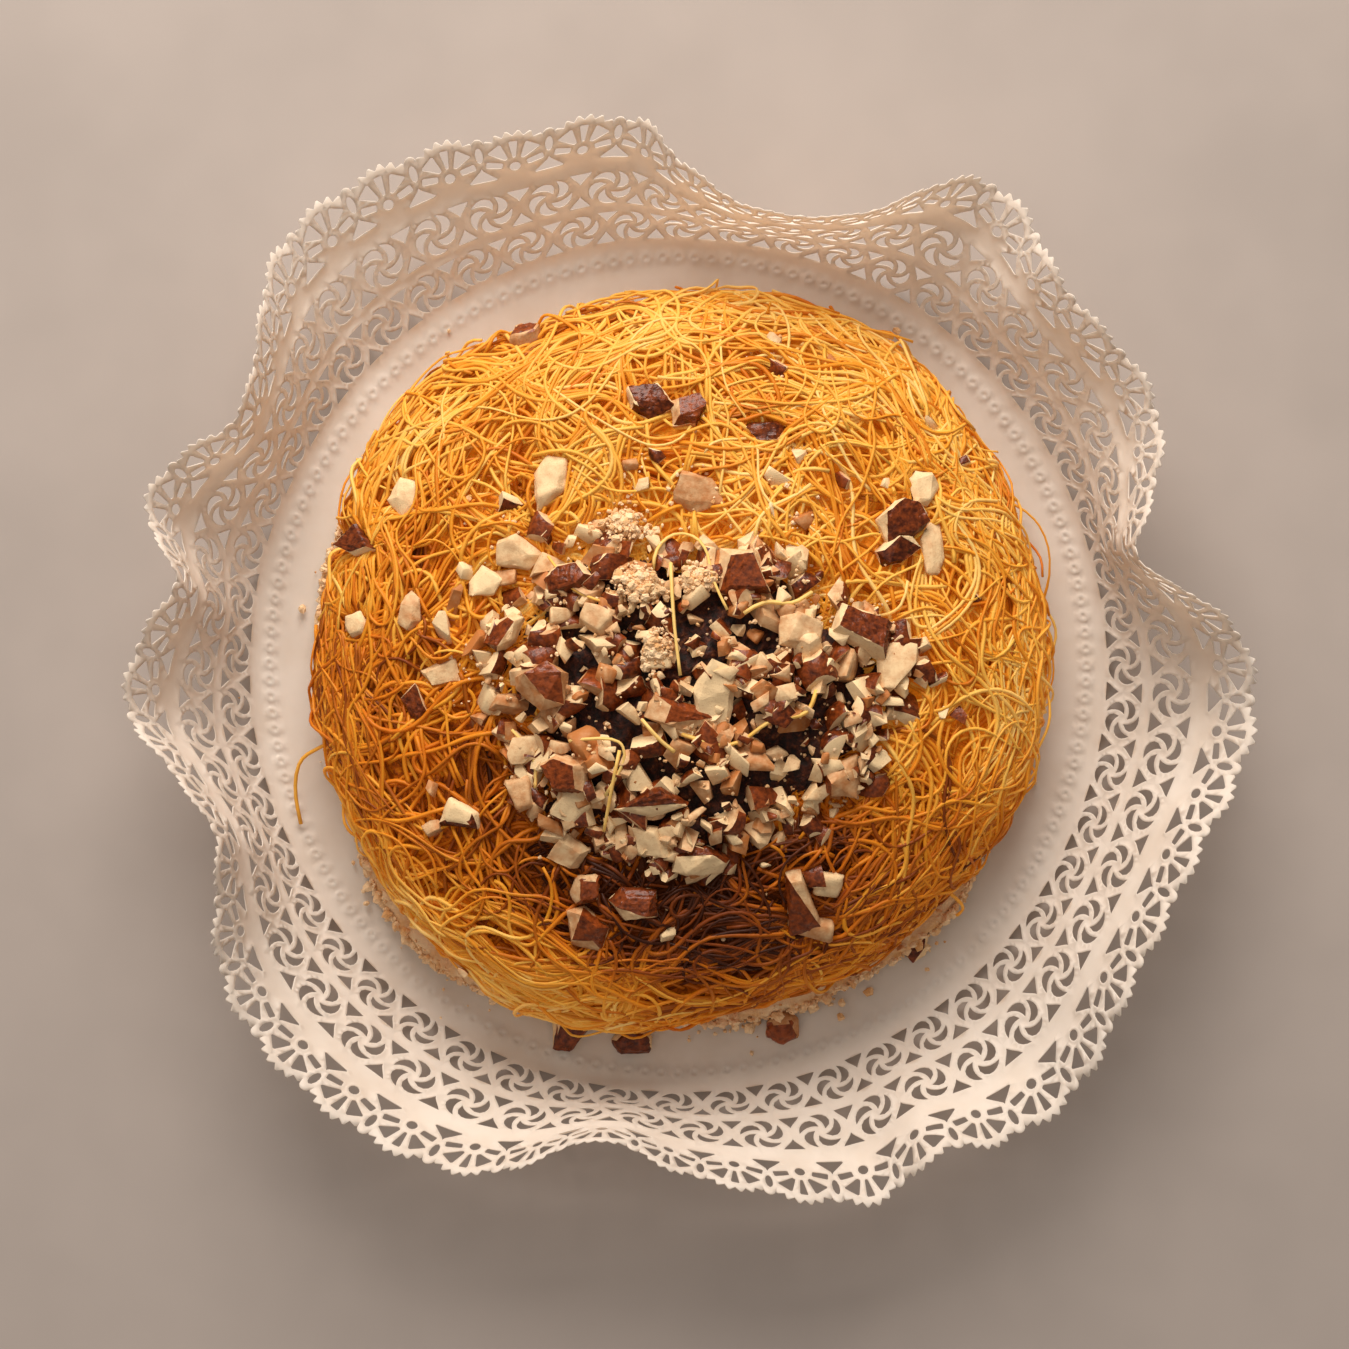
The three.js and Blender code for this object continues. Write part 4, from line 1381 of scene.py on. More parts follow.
    def _core(self) -> None:
        """The dome under the strands, uneven like packed strands."""
        columns, rings = 300, 46
        azimuth = np.arange(columns) / columns * FULL_TURN
        along = self.dome.length * np.linspace(0.02, 1, rings)
        plan = along[:, None, None] * compass(azimuth)[None]
        points, _ = self.dome.lay(plan, np.zeros(plan.shape[:2]))
        lumps = 0.5 * ripple(points, 2.0, 31) + 0.5 * ripple(points, 5.0, 32)
        points, _ = self.dome.lay(plan, lumps + 0.4 - self._depth_at(along)[:, None])
        points[..., 2] = np.maximum(points[..., 2], self.form.nest_floor)
        inner = points[-1].copy()
        inner[:, :2] = self.form.centre + (inner[:, :2] - self.form.centre) * 0.9
        inner[:, 2] = self.form.nest_floor
        vertices, faces = body_of_rings(np.concatenate([points, inner[None]]))
        # The core takes the same browning and painted shade as the strands.
        core = Shape(vertices, faces, {"toast_and_shade": self._browning_and_shade(vertices)})
        piece = core.piece("noodle_core", NestCoreFinish().make(), "baked_pasta")
        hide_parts("noodle_nest")

    def _bundles(self, batch: StrandBatch, rng: np.random.Generator) -> list[list[Array]]:
        """Flat plans of a batch of strands, bundle by bundle.

        Args:
            batch: how they lie.
            rng: where their wandering comes from.

        Returns:
            For each bundle, one array of points for each strand.
        """
        tracks = self._wander(batch, rng)
        bundles = []
        for track in tracks:
            members = int(rng.integers(batch.strands[0], batch.strands[1] + 1))
            along = unit(np.gradient(track, axis=0))
            side = np.stack([-along[:, 1], along[:, 0]], 1)
            places = np.arange(len(track)) * self.step
            spread = 0.75 + 0.35 * np.sin(places / rng.uniform(9, 22) + rng.uniform(0, FULL_TURN))
            bundle = []
            for member in range(members):
                away = (member - (members - 1) / 2) * self.spacing * spread
                away = away + rng.normal(0, 0.5)
                away = away + 0.9 * np.sin(places / rng.uniform(7, 16) + rng.uniform(0, FULL_TURN))
                path = track + side * (away if members > 1 else 0 * away)[:, None]
                first = int(rng.integers(0, 1 + len(path) // 4)) if members > 1 else 0
                last = len(path) - (int(rng.integers(0, 1 + len(path) // 4)) if members > 1 else 0)
                bundle.append(path[first:last])
            bundles.append(bundle)
        return bundles

    def _wander(self, batch: StrandBatch, rng: np.random.Generator) -> list[Array]:
        """Wandering lines on the plan, with sways and tight hooks.

        Args:
            batch: how they lie.
            rng: where their wandering comes from.

        Returns:
            One array of points for each line.
        """
        count = batch.bundles
        steps = int(batch.length[1] / self.step) + 1
        start = (self.dome.length - 3) * np.sqrt(rng.uniform(0.0, 1.0, count))
        azimuth = rng.uniform(0, FULL_TURN, count)
        place = start[:, None] * compass(azimuth)
        rim = azimuth + math.pi / 2 + math.pi * rng.integers(0, 2, count)
        round_rim, any_way = rim + rng.normal(0, 0.7, count), rng.uniform(0, FULL_TURN, count)
        heading = np.where(start > self.lying_round_from, round_rim, any_way)
        rates = FULL_TURN / rng.uniform(*self.bend_length, (3, count))
        phases = rng.uniform(0, FULL_TURN, (3, count))
        weights = batch.sway * rng.uniform(0.4, 1.3, (3, count))
        hooks = (self.most_hooks, count)
        hook_place = rng.uniform(0, batch.length[1], hooks)
        hook_on = rng.random(hooks) < batch.hooks / self.most_hooks
        hook_bend = hook_on * rng.choice([-1, 1], hooks) / rng.uniform(*self.hook_radius, hooks)
        hook_width = rng.uniform(*self.hook_length, hooks)
        held = rng.random(count) > self.turned_under
        edge = np.where(held, self.dome.length - 1.2, 2 * self.dome.length)
        track = np.zeros((count, steps, 2))
        for index in range(steps):
            track[:, index] = place
            along = index * self.step
            bend = (weights * np.sin(rates * along + phases)).sum(0)
            bend = bend + (hook_bend * np.exp(-(((along - hook_place) / hook_width) ** 2))).sum(0)
            away = np.hypot(place[:, 0], place[:, 1])
            rim = np.arctan2(place[:, 1], place[:, 0]) + math.pi / 2
            pull = np.clip((away - 50) / 50, 0, 1) * self.rim_pull
            bend = bend + pull * np.sin(2 * (rim - heading))
            outside = held * np.clip((away - (self.dome.length - 9)) / 6, 0, 1) / 5
            bend = bend + outside * np.sin(rim + math.pi / 2 - heading)
            heading = heading + bend * self.step
            place = place + self.step * compass(heading)
            reach = np.hypot(place[:, 0], place[:, 1])
            place *= np.minimum(1, edge / reach)[:, None]
        beyond = np.hypot(track[..., 0], track[..., 1]) > self.dome.length - 0.6
        ends = np.where(beyond.any(1), np.maximum(beyond.argmax(1), 8), steps)
        lengths = np.minimum((rng.uniform(*batch.length, count) / self.step).astype(int), ends)
        return [track[index, :lengths[index]] for index in range(count)]

    @staticmethod
    def _bridged(height: Array, reach: int) -> Array:
        """A height line that passes over what is below it without sharp bends."""
        padded = np.pad(height, reach, mode="edge")
        offsets = np.arange(-reach, reach + 1)
        drops = 0.035 * offsets[:, None] ** 2
        spread = np.array([padded[k:k + len(height)] for k in range(2 * reach + 1)])
        return (spread - drops).max(0)

    def _laid(self, plan: Array, batch: StrandBatch, tone: float, rng: np.random.Generator) -> Strand:
        """Lays one strand on what is there.

        Args:
            plan: its flat line.
            batch: how it lies.
            tone: how far its bundle is browned.
            rng: where its own differences come from.

        Returns:
            The strand.
        """
        limit = self.dome.length - 0.8
        away = np.hypot(plan[:, 0], plan[:, 1])
        plan = plan * np.minimum(1, limit / np.maximum(away, 1))[:, None]
        cell = np.clip(((plan + self.half) / self.cell).astype(int), 1, self.pile.shape[0] - 2)
        below = self.pile[cell[:, 0], cell[:, 1]]
        height = self.bridging * self._bridged(below, 6) + (1 - self.bridging) * smoothed(below, 6)
        height = height + self.thickness * 0.5
        if rng.random() < batch.arch:
            arch = np.sin(np.linspace(0, math.pi, len(plan)) * rng.choice([1, 2, 3])) ** 2
            height = height + arch * rng.uniform(*self.arch_height)
        under, _ = self.dome.lay(plan, np.zeros(len(plan)))
        spot = ((under[:, :2] + self.half) / self.cell).astype(int)
        height = smoothed(np.minimum(height, self.ceiling[spot[:, 0], spot[:, 1]]), 3)
        top = np.minimum(height + self.thickness * 0.4, self.highest)
        band, ease = self.flare_band
        at_rim = np.clip((away - (self.dome.length - band)) / ease, 0, 1)
        wave = np.arange(len(plan)) * self.step / rng.uniform(*self.flare_wave) + rng.uniform(0, FULL_TURN)
        height = height + min(rng.exponential(self.flare), self.most_flare) * at_rim * np.sin(wave) ** 2
        for dx, dy in ((0, 0), (1, 0), (-1, 0), (0, 1), (0, -1)):
            spot = (cell[:, 0] + dx, cell[:, 1] + dy)
            self.pile[spot] = np.maximum(self.pile[spot], top)
        points, up = self.dome.lay(plan, height)
        points[:, 2] = np.maximum(points[:, 2], self.form.nest_floor - 1.5)
        return Strand(points, up, self._toast_and_shade(points, tone, rng))

    def _toast_and_shade(self, points: Array, tone: float, rng: np.random.Generator) -> Array:
        """How far each point of a strand is browned, with painted shade added: 0 straw yellow, 1 brown."""
        return self._browning_and_shade(points) + tone + rng.normal(0, 0.1) + 0.05 * ripple(points, 18, 41)

    def _browning_and_shade(self, points: Array) -> Array:
        """How far the cake is darkened at some points: oven browning, plus painted shade on its lower (-Y)
        side.
        """
        total = np.full(len(points), 0.28)
        for x, y, radius, strength in self.browned_and_shaded:
            total += strength * np.exp(-((points[:, 0] - x) ** 2 + (points[:, 1] - y) ** 2) / radius ** 2)
        return total

    def _smooth_path(self, knots: Array) -> Array:
        """A smooth run of points through a few."""
        lengths = np.concatenate([[0], np.cumsum(np.linalg.norm(np.diff(knots, axis=0), axis=1))])
        where = np.linspace(0, lengths[-1], int(lengths[-1] / self.step) + 2)
        path = np.stack([np.interp(where, lengths, knots[:, axis]) for axis in range(3)], 1)
        for _ in range(10):
            path[1:-1] = (path[:-2] + 2 * path[1:-1] + path[2:]) / 4
        return path

    def _make_pieces(self, strands: list[Strand], rng: np.random.Generator) -> None:
        """Makes the strands' tubes, one piece for each shade."""
        groups: dict[str, list[Shape]] = {name: [] for name, _, _ in self.shades}
        for strand in strands:
            middle = float(np.mean(strand.toast_and_shade))
            name = next(shade for shade, limit, _ in self.shades if middle < limit)
            groups[name].append(self._tube(strand, strand.scale * rng.uniform(0.72, 1.2), rng))
        for name, _, glow in self.shades:
            Shape.joined(groups[name]).piece(name, PastaFinish(name, glow).make(), "baked_pasta")

    @staticmethod
    def _thinned(points: Array) -> Array:
        """Which points to keep: close together in tight bends, further apart on straight runs."""
        along = np.diff(points, axis=0)
        lengths = np.maximum(np.linalg.norm(along, axis=1), 1e-9)
        along /= lengths[:, None]
        turns = np.arccos(np.clip((along[1:] * along[:-1]).sum(1), -1, 1))
        turns = np.concatenate([turns, [0]])
        need = np.concatenate([[0], np.cumsum(lengths / 5.2 + turns / 0.5)])
        keep = np.searchsorted(need, np.arange(0, need[-1], 1.0))
        return np.unique(np.append(keep, len(points) - 1))

    def _tube(self, strand: Strand, scale: float, rng: np.random.Generator) -> Shape:
        """A flattened four-sided tube along a strand, closed at both ends.

        Args:
            strand: its line.
            scale: its width as a share of the usual one.
            rng: where its twist comes from.

        Returns:
            The tube.
        """
        along = unit(np.gradient(strand.points, axis=0))
        side = unit(np.cross(along, strand.up))
        up = np.cross(side, along)
        twist = rng.uniform(-0.5, 0.5) + 0.5 * np.sin(np.arange(len(up)) * rng.uniform(0.03, 0.12))
        across = side * np.cos(twist)[:, None] + up * np.sin(twist)[:, None]
        over = up * np.cos(twist)[:, None] - side * np.sin(twist)[:, None]
        keep = self._thinned(strand.points)
        points = strand.points[keep]
        across = across[keep] * self.width * scale / 2
        over = over[keep] * self.thickness * scale / 2
        rings = np.stack([points + across, points + over, points - across, points - over], 1)
        count = len(points)
        base = np.arange(count - 1)[:, None] * 4
        corner = np.arange(4)[None]
        after = (corner + 1) % 4
        quads = np.stack([base + corner, base + after, base + after + 4, base + corner + 4], 2)
        ends = np.array([[3, 2, 1, 0], [4 * count - 4, 4 * count - 3, 4 * count - 2, 4 * count - 1]])
        faces = np.concatenate([quads.reshape(-1, 4), ends])
        return Shape(rings.reshape(-1, 3), faces, {"toast_and_shade": np.repeat(strand.toast_and_shade[keep], 4)})


# ---- Almonds ----


class Chop(Enum):
    """Kinds of small chopped almond."""

    PALE = "pale"
    SKINNED = "skinned"
    TAN = "tan"


def turned(rng: np.random.Generator, tilt: float) -> Array:
    """A random turn about the vertical after a tilt of up to about some radians."""
    turn, lean, roll = rng.uniform(0, FULL_TURN), rng.normal(0, tilt), rng.normal(0, tilt)
    flat = np.array([[math.cos(turn), -math.sin(turn), 0], [math.sin(turn), math.cos(turn), 0], [0, 0, 1]])
    tip = np.array([[1, 0, 0], [0, math.cos(lean), -math.sin(lean)], [0, math.sin(lean), math.cos(lean)]])
    rock = np.array([[math.cos(roll), 0, math.sin(roll)], [0, 1, 0], [-math.sin(roll), 0, math.cos(roll)]])
    return flat @ tip @ rock


class ChoppedStock:
    """A stock of bits of almond, each cut from a kernel by flat cuts, and laid down many times."""

    KERNEL = np.array([11.5, 6.6, 4.4])  # half its length, width and thickness
    BEVEL = 0.42
    CREASE = 48.0
    SHARP = 28.0
    NEAR_SKIN, NEAR_MIDDLE = 0.82, 0.2  # where a bit is cut, as a share of the way out
    CORNER_CUT_SHARE = 0.6
    TILT, SKINNED_TILT = 0.5, 0.75
    SKIN, FLESH = 0, 1

    def __init__(self, kind: Chop, count: int, rng: np.random.Generator) -> None:
        """Cuts the stock."""
        self.kind = kind
        self.bits = [self._bit(rng) for _ in range(count)]

    def _bit(self, rng: np.random.Generator) -> Shape:
        """Cuts one bit, of length 1 about its own middle."""
        form = bmesh.new()
        bmesh.ops.create_icosphere(form, subdivisions=3, radius=1.0)
        for vertex in form.verts:
            vertex.co = Vector(np.array(vertex.co) * self.KERNEL)
        direction = unit(rng.normal(size=3))
        skinned = self.kind is Chop.SKINNED
        middle = direction * self.KERNEL * (self.NEAR_SKIN if skinned else self.NEAR_MIDDLE)
        upward = unit(direction / self.KERNEL)
        sideways = unit(np.cross(upward, rng.normal(size=3)))
        axes = (sideways, np.cross(upward, sideways), upward)
        half = np.array([1.0, rng.uniform(0.55, 0.95), rng.uniform(0.45, 0.85)]) * rng.uniform(2.4, 4.2)
        for axis, reach in zip(axes, half):
            for sign in (-1, 1):
                if skinned and axis is upward and sign > 0:
                    continue
                tilted = sign * axis + rng.normal(0, 0.26, 3)
                self._slice(form, middle + sign * axis * reach, tilted)
        if rng.random() < self.CORNER_CUT_SHARE:
            corner = unit(rng.normal(size=3))
            self._slice(form, middle + corner * half.mean() * 0.8, corner)
        if not skinned:
            for face in form.faces:
                face.material_index = self.FLESH
        shape = self._finished(form)
        form.free()
        low, high = shape.vertices.min(0), shape.vertices.max(0)
        shape.vertices = (shape.vertices - (low + high) / 2) @ np.stack(axes).T / (high - low).max()
        return shape

    @classmethod
    def _slice(cls, form: bmesh.types.BMesh, point: Array, outward: Array) -> None:
        """Cuts away what lies beyond a plane and closes the cut with flesh."""
        everything = form.verts[:] + form.edges[:] + form.faces[:]
        cut = bmesh.ops.bisect_plane(
            form, geom=everything, dist=1e-4, plane_co=point, plane_no=unit(outward), clear_outer=True
        )
        rim = [item for item in cut["geom_cut"] if isinstance(item, bmesh.types.BMEdge)]
        if rim:
            for face in bmesh.ops.holes_fill(form, edges=rim, sides=0)["faces"]:
                face.material_index = cls.FLESH

    @classmethod
    def _finished(cls, form: bmesh.types.BMesh) -> Shape:
        """Breaks the sharp edges, and reads the mesh with its skin faces marked."""
        sharp = [
            edge for edge in form.edges
            if len(edge.link_faces) == 2 and edge.calc_face_angle(0.0) > math.radians(cls.SHARP)
        ]
        break_edges(form, sharp, cls.BEVEL)
        bmesh.ops.remove_doubles(form, verts=form.verts[:], dist=0.02)
        bmesh.ops.triangulate(form, faces=form.faces[:])
        bmesh.ops.recalc_face_normals(form, faces=form.faces[:])
        vertices, faces = arrays_of(form)
        return Shape(vertices, faces, {}, {"skin": cls.skin_of(form)})

    @classmethod
    def skin_of(cls, form: bmesh.types.BMesh) -> Array:
        """1 for each face that is skin, 0 for flesh."""
        return np.array([float(face.material_index == cls.SKIN) for face in form.faces])

    def take(self, size: Array, tone: float, rng: np.random.Generator) -> Shape:
        """A bit from the stock.

        Args:
            size: how long, wide and thick it is for each unit of the stock bit, in millimetres.
            tone: how far it is toasted.
            rng: which bit, and how it lies.

        Returns:
            The bit about its own middle.
        """
        bit = self.bits[int(rng.integers(len(self.bits)))]
        tilt = self.SKINNED_TILT if self.kind is Chop.SKINNED else self.TILT
        vertices = bit.vertices * size @ turned(rng, tilt).T
        return Shape(vertices, bit.faces, {"tone": np.full(len(vertices), tone)}, bit.face_numbers)


@dataclass
class LargerPieces:
    """The larger pieces, each with broken edges and rough faces, made from its own CAD solid."""

    bevel: float = 0.5
    grow: float = 1.03
    longest_edge: float = 1.45
    crease: float = 38.0
    wrinkle_width: float = 1.5
    lump_reach: float = 14.0

    def build(self) -> None:
        """Builds every larger almond piece and crumb lump."""
        flesh = AlmondFinish("almond_cut").make()
        skinned = AlmondFinish("almond_skinned").make()
        lump_finish = CrumbFinish("crumb_lump").make()
        for index, node in enumerate(sorted(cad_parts)):
            if node.startswith(("almond_pale", "almond_brown", "almond_fallen")):
                brown = not node.startswith("almond_pale")
                shape = self._piece(node, brown, 100 + index)
                material = skinned if brown else flesh
                slot = "almond_skin" if brown else "almond_flesh"
                piece = shape.piece(node + "_cut", material, slot, self.crease)
                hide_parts(node)
            elif node.startswith("crumb_lump"):
                shape = self._lump(node, 100 + index)
                piece = shape.piece(node + "_grains", lump_finish, "ground_almond", 0)
                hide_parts(node)

    @staticmethod
    def _hull(node: str) -> bmesh.types.BMesh:
        """The convex outside of a CAD solid, in millimetres."""
        form = bmesh.new()
        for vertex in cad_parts[node].data.vertices:
            form.verts.new(vertex.co / MM)
        bmesh.ops.remove_doubles(form, verts=form.verts[:], dist=0.05)
        hull = bmesh.ops.convex_hull(form, input=form.verts[:])
        inside_hull = {item for item in hull["geom_interior"] if isinstance(item, bmesh.types.BMVert)}
        bmesh.ops.delete(form, geom=list(inside_hull), context="VERTS")
        bmesh.ops.dissolve_limit(
            form, angle_limit=math.radians(7), verts=form.verts[:], edges=form.edges[:]
        )
        form.normal_update()
        return form

    def _piece(self, node: str, brown: bool, seed: int) -> Shape:
        """One almond piece: a CAD solid's outside with skin, broken edges and rough faces.

        Args:
            node: the CAD solid.
            brown: whether skin covers most of it.
            seed: where its differences come from.

        Returns:
            The piece.
        """
        rng = np.random.default_rng(seed)
        form = self._hull(node)
        corners = np.array([vertex.co for vertex in form.verts])
        middle = corners.mean(0)
        largest = max((face for face in form.faces if face.normal.z > 0.2), key=lambda face: face.calc_area())
        azimuth = rng.uniform(0, FULL_TURN)
        edgeways = np.array([math.cos(azimuth), math.sin(azimuth), 0.1])
        facing = unit(np.array(largest.normal) + 0.7 * edgeways if brown else edgeways)
        reach = rng.uniform(0.35, 0.7) if brown else rng.uniform(0.72, 1.2)
        for face in form.faces:
            shown = float(np.array(face.normal) @ facing) > reach
            face.material_index = ChoppedStock.SKIN if shown else ChoppedStock.FLESH
        break_edges(form, [edge for edge in form.edges if len(edge.link_faces) == 2], self.bevel)
        for _ in range(5):
            bmesh.ops.triangulate(form, faces=[face for face in form.faces if len(face.verts) > 3])
            long = [edge for edge in form.edges if edge.calc_length() > self.longest_edge]
            if not long:
                break
            bmesh.ops.subdivide_edges(form, edges=long, cuts=1, use_grid_fill=True)
        bmesh.ops.triangulate(form, faces=[face for face in form.faces if len(face.verts) > 3])
        bmesh.ops.recalc_face_normals(form, faces=form.faces[:])
        form.normal_update()
        vertices, faces = arrays_of(form)
        normals = np.array([vertex.normal for vertex in form.verts])
        skin = ChoppedStock.skin_of(form)
        form.free()
        _, _, axes = np.linalg.svd(corners - middle, full_matrices=False)
        across = (vertices - middle) @ axes[1]
        lengthways = (vertices - middle) @ axes[0]
        on_skin = np.zeros(len(vertices))
        on_skin[faces[skin > 0.5].ravel()] = 1
        waver = 0.5 * np.sin(lengthways / 2.3 + seed) + 0.4 * np.sin(lengthways / 0.9)
        ridges = np.sin(across * FULL_TURN / self.wrinkle_width + waver)
        wrinkles = 0.17 * ridges + 0.1 * ripple(vertices, 1.2, seed + 2)
        chips = 0.30 * ripple(vertices, 2.2, seed) + 0.1 * ripple(vertices, 0.9, seed + 1)
        height = on_skin * wrinkles + (1 - on_skin) * chips * 0.55
        vertices = middle + (vertices - middle) * self.grow + normals * height[:, None]
        tone = np.full(len(vertices), rng.uniform(0, 0.9))
        return Shape(vertices, faces, {"tone": tone}, {"skin": skin})

    def _lump(self, node: str, seed: int) -> Shape:
        """One lump of ground almond, made of grains stuck together."""
        rng = np.random.default_rng(seed)
        form = self._hull(node)
        corners = np.array([vertex.co for vertex in form.verts])
        middle = corners.mean(0)
        planes = np.array([face.normal for face in form.faces])
        on_planes = np.array([face.verts[0].co for face in form.faces])
        depths = ((on_planes - middle) * planes).sum(1)
        form.free()
        planes[depths < 0] *= -1
        depths = np.maximum(np.abs(depths), 0.4)
        large = self._clustered(60, (1.8, 3.4), 2, (middle, planes, depths), rng)
        small = self._clustered(330, (0.7, 1.9), 1, (middle, planes, depths), rng)
        return Shape.joined([large, small])

    def _clustered(
        self, count: int, sizes: tuple[float, float], level: int, room: tuple[Array, Array, Array],
        rng: np.random.Generator,
    ) -> Shape:
        """Grains stuck together in the shape of a convex solid.

        Args:
            count: how many grains.
            sizes: their least and greatest width.
            level: how finely each grain is made.
            room: the solid's middle, its faces' directions and their distances from the middle.
            rng: where their places come from.

        Returns:
            The grains as one shape.
        """
        middle, planes, depths = room
        directions = rng.normal(size=(count, 3))
        directions[:, 2] = np.abs(directions[:, 2]) - 0.2
        directions = unit(directions)
        reach = 1 / np.maximum((directions @ planes.T) / depths[None], 1e-3).max(1)
        reach = reach.clip(0, self.lump_reach)
        share = rng.uniform(0.25, 1.05, count) ** 0.5
        centres = middle + directions * (reach * share)[:, None]
        return scattered_grains(centres, rng.uniform(*sizes, count), rng, level)


@dataclass
class AlmondHeap:
    """The heap of small chopped almonds: a smaller core, dark as painted shade, under loose pieces and
    crumbs.
    """

    form: CakeForm
    core_depth: float = 5.2
    cell: float = 0.5
    half: float = 112.0
    highest: float = 57.6
    medium: int = 350
    small: int = 170
    crumbs: int = 640
    mix: tuple[float, float, float] = (0.34, 0.46, 0.2)
    crumb_size: tuple[float, float] = (0.6, 1.9)
    most_above: float = 3.2  # how far a bit may stand above the smooth form
    crumb_above: float = 1.6
    landing: float = 0.34  # half the width of the patch that carries a bit, for each unit of its length
    sinking: float = 0.12
    filling: float = 0.75
    strewn_x: tuple[float, float] = (-88.0, 92.0)
    strewn_y: tuple[float, float] = (-88.0, 86.0)
    strewn_radius: float = 96.0
    placed: tuple[tuple[float, float, float, Chop], ...] = (  # x, y, length, kind
        (27.4, 83, 7.5, Chop.SKINNED), (-6, 58, 5.5, Chop.SKINNED), (27, 51.5, 8, Chop.PALE),
        (34, 58.5, 8.5, Chop.PALE), (45.6, 51, 6, Chop.SKINNED), (72, -4, 6.5, Chop.SKINNED),
        (79, -14, 5, Chop.SKINNED), (37.5, -73, 15, Chop.TAN), (24, -42, 9, Chop.PALE),
        (10.4, -46, 9, Chop.SKINNED), (-2.8, -75, 6, Chop.PALE), (-62, 18, 10, Chop.TAN),
        (46.5, -0.6, 12, Chop.PALE), (-10.6, -29, 12, Chop.PALE), (9, -22, 15, Chop.SKINNED),
        (-61, -87, 4, Chop.SKINNED), (-13.4, 55.8, 5, Chop.TAN), (-65, 10, 10, Chop.PALE),
        (-56, 6, 9, Chop.TAN), (-46, 19, 9, Chop.SKINNED), (-52.5, -9, 10, Chop.PALE),
        (-55.5, -15, 7, Chop.TAN), (-48, -19, 8, Chop.PALE), (-46, -26, 9, Chop.TAN),
        (39, -47, 7, Chop.SKINNED), (65.5, 4.5, 8, Chop.SKINNED), (51.5, -12, 9, Chop.SKINNED),
        (55.5, -33.5, 9, Chop.SKINNED), (-47, 44, 11, Chop.SKINNED), (-39, 38, 10, Chop.SKINNED),
        (34, 39.5, 9, Chop.TAN), (27, 91.5, 6, Chop.PALE), (43, 86, 5, Chop.TAN),
        (71.4, 67.5, 6.5, Chop.SKINNED), (80, 57, 5.5, Chop.SKINNED), (58, 51, 4.5, Chop.PALE),
        (-68.4, -34.5, 5, Chop.TAN), (-10, 50, 6, Chop.SKINNED), (-48, 24, 8, Chop.TAN),
        (-58, 26, 7, Chop.PALE), (-36, -44, 9, Chop.TAN), (-20, -52, 8, Chop.SKINNED),
    )
    spills: tuple[tuple[float, float, float, int], ...] = (  # x, y, spread, crumbs
        (47, 75, 6, 60), (39, 78, 5, 30), (16, 50, 9, 60), (-18, 46, 8, 50), (-52, 38, 7, 30),
        (30, 46, 7, 50), (-60, -4, 6, 24), (26, 88, 5, 16), (6, -60, 10, 30), (60, 14, 6, 24),
    )

    def build(self) -> None:
        """Builds the core, the pieces and the crumbs."""
        self._core()
        rng = np.random.default_rng(77)
        axis = np.arange(0, 2 * self.half, self.cell) + self.cell / 2 - self.half
        x, y = np.meshgrid(axis, axis, indexing="ij")
        share = np.maximum(self.form.heap_share(x, y), 0)
        rest = np.where(share > 0, -0.4, 1.3)
        self.pile = self.form.nest_top(x, y) + rest + share * (self.form.heap_height - self.core_depth)
        stocks = {kind: ChoppedStock(kind, 22, rng) for kind in Chop}
        parts: dict[Chop, list[Shape]] = {kind: [] for kind in Chop}
        kinds = list(Chop)
        for count, strewn, least, most in ((self.medium, 0.04, 5.4, 12.0), (self.small, 0.1, 2.8, 5.6)):
            for place in self._places(rng, count, strewn):
                kind = kinds[int(rng.choice(len(kinds), p=self.mix))]
                size = least + (most - least) * rng.random() ** 1.5
                parts[kind].append(self._dropped(stocks[kind], place, size, rng))
        for *place, size, kind in self.placed:
            parts[kind].append(self._dropped(stocks[kind], np.array(place), size, rng))
        for kind, shapes in parts.items():
            material = AlmondFinish("chopped_" + kind.value).make()
            slot = "almond_skin" if kind is Chop.SKINNED else "almond_flesh"
            Shape.joined(shapes).piece("chopped_" + kind.value, material, slot, ChoppedStock.CREASE)
        self._crumbs(rng)

    def _core(self) -> None:
        """The mound under the loose pieces, coloured dark as painted shade in the gaps between them."""
        columns, count = 220, 34
        azimuth = np.arange(columns) / columns * FULL_TURN
        across = np.hypot(
            np.cos(azimuth) / self.form.heap_half_length, np.sin(azimuth) / self.form.heap_half_width
        )
        rings = []
        for share in np.linspace(0.03, 1.0, count):
            reach = share / across
            x = self.form.heap_centre[0] + reach * np.cos(azimuth)
            y = self.form.heap_centre[1] + reach * np.sin(azimuth)
            rings.append(np.stack([x, y, self.form.heap_top(x, y) - self.core_depth], 1))
        rings = np.array(rings)
        rings[..., 2] += 0.9 * ripple(rings, 3.0, 51) + 0.5 * ripple(rings, 1.6, 52)
        inner = rings[-1].copy()
        inner[:, 2] -= 4
        vertices, faces = body_of_rings(np.concatenate([rings, inner[None]]))
        piece = Shape(vertices, faces).piece("heap_painted_shade_core", HeapShadeCoreFinish().make(), "almond_skin")
        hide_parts("almond_heap")

    def _places(self, rng: np.random.Generator, count: int, strewn: float) -> Array:
        """Places for pieces: dense on the heap, and a share strewn over the strands round it."""
        places = []
        while len(places) < count:
            x, y = rng.uniform(*self.strewn_x), rng.uniform(*self.strewn_y)
            share = float(self.form.heap_share(np.array(x), np.array(y)))
            chance = 1.0 if share > 0.1 else strewn * math.exp(2.0 * share)
            if rng.random() < chance and math.hypot(x - self.form.centre[0], y) < self.strewn_radius:
                places.append((x, y))
        return np.array(places)

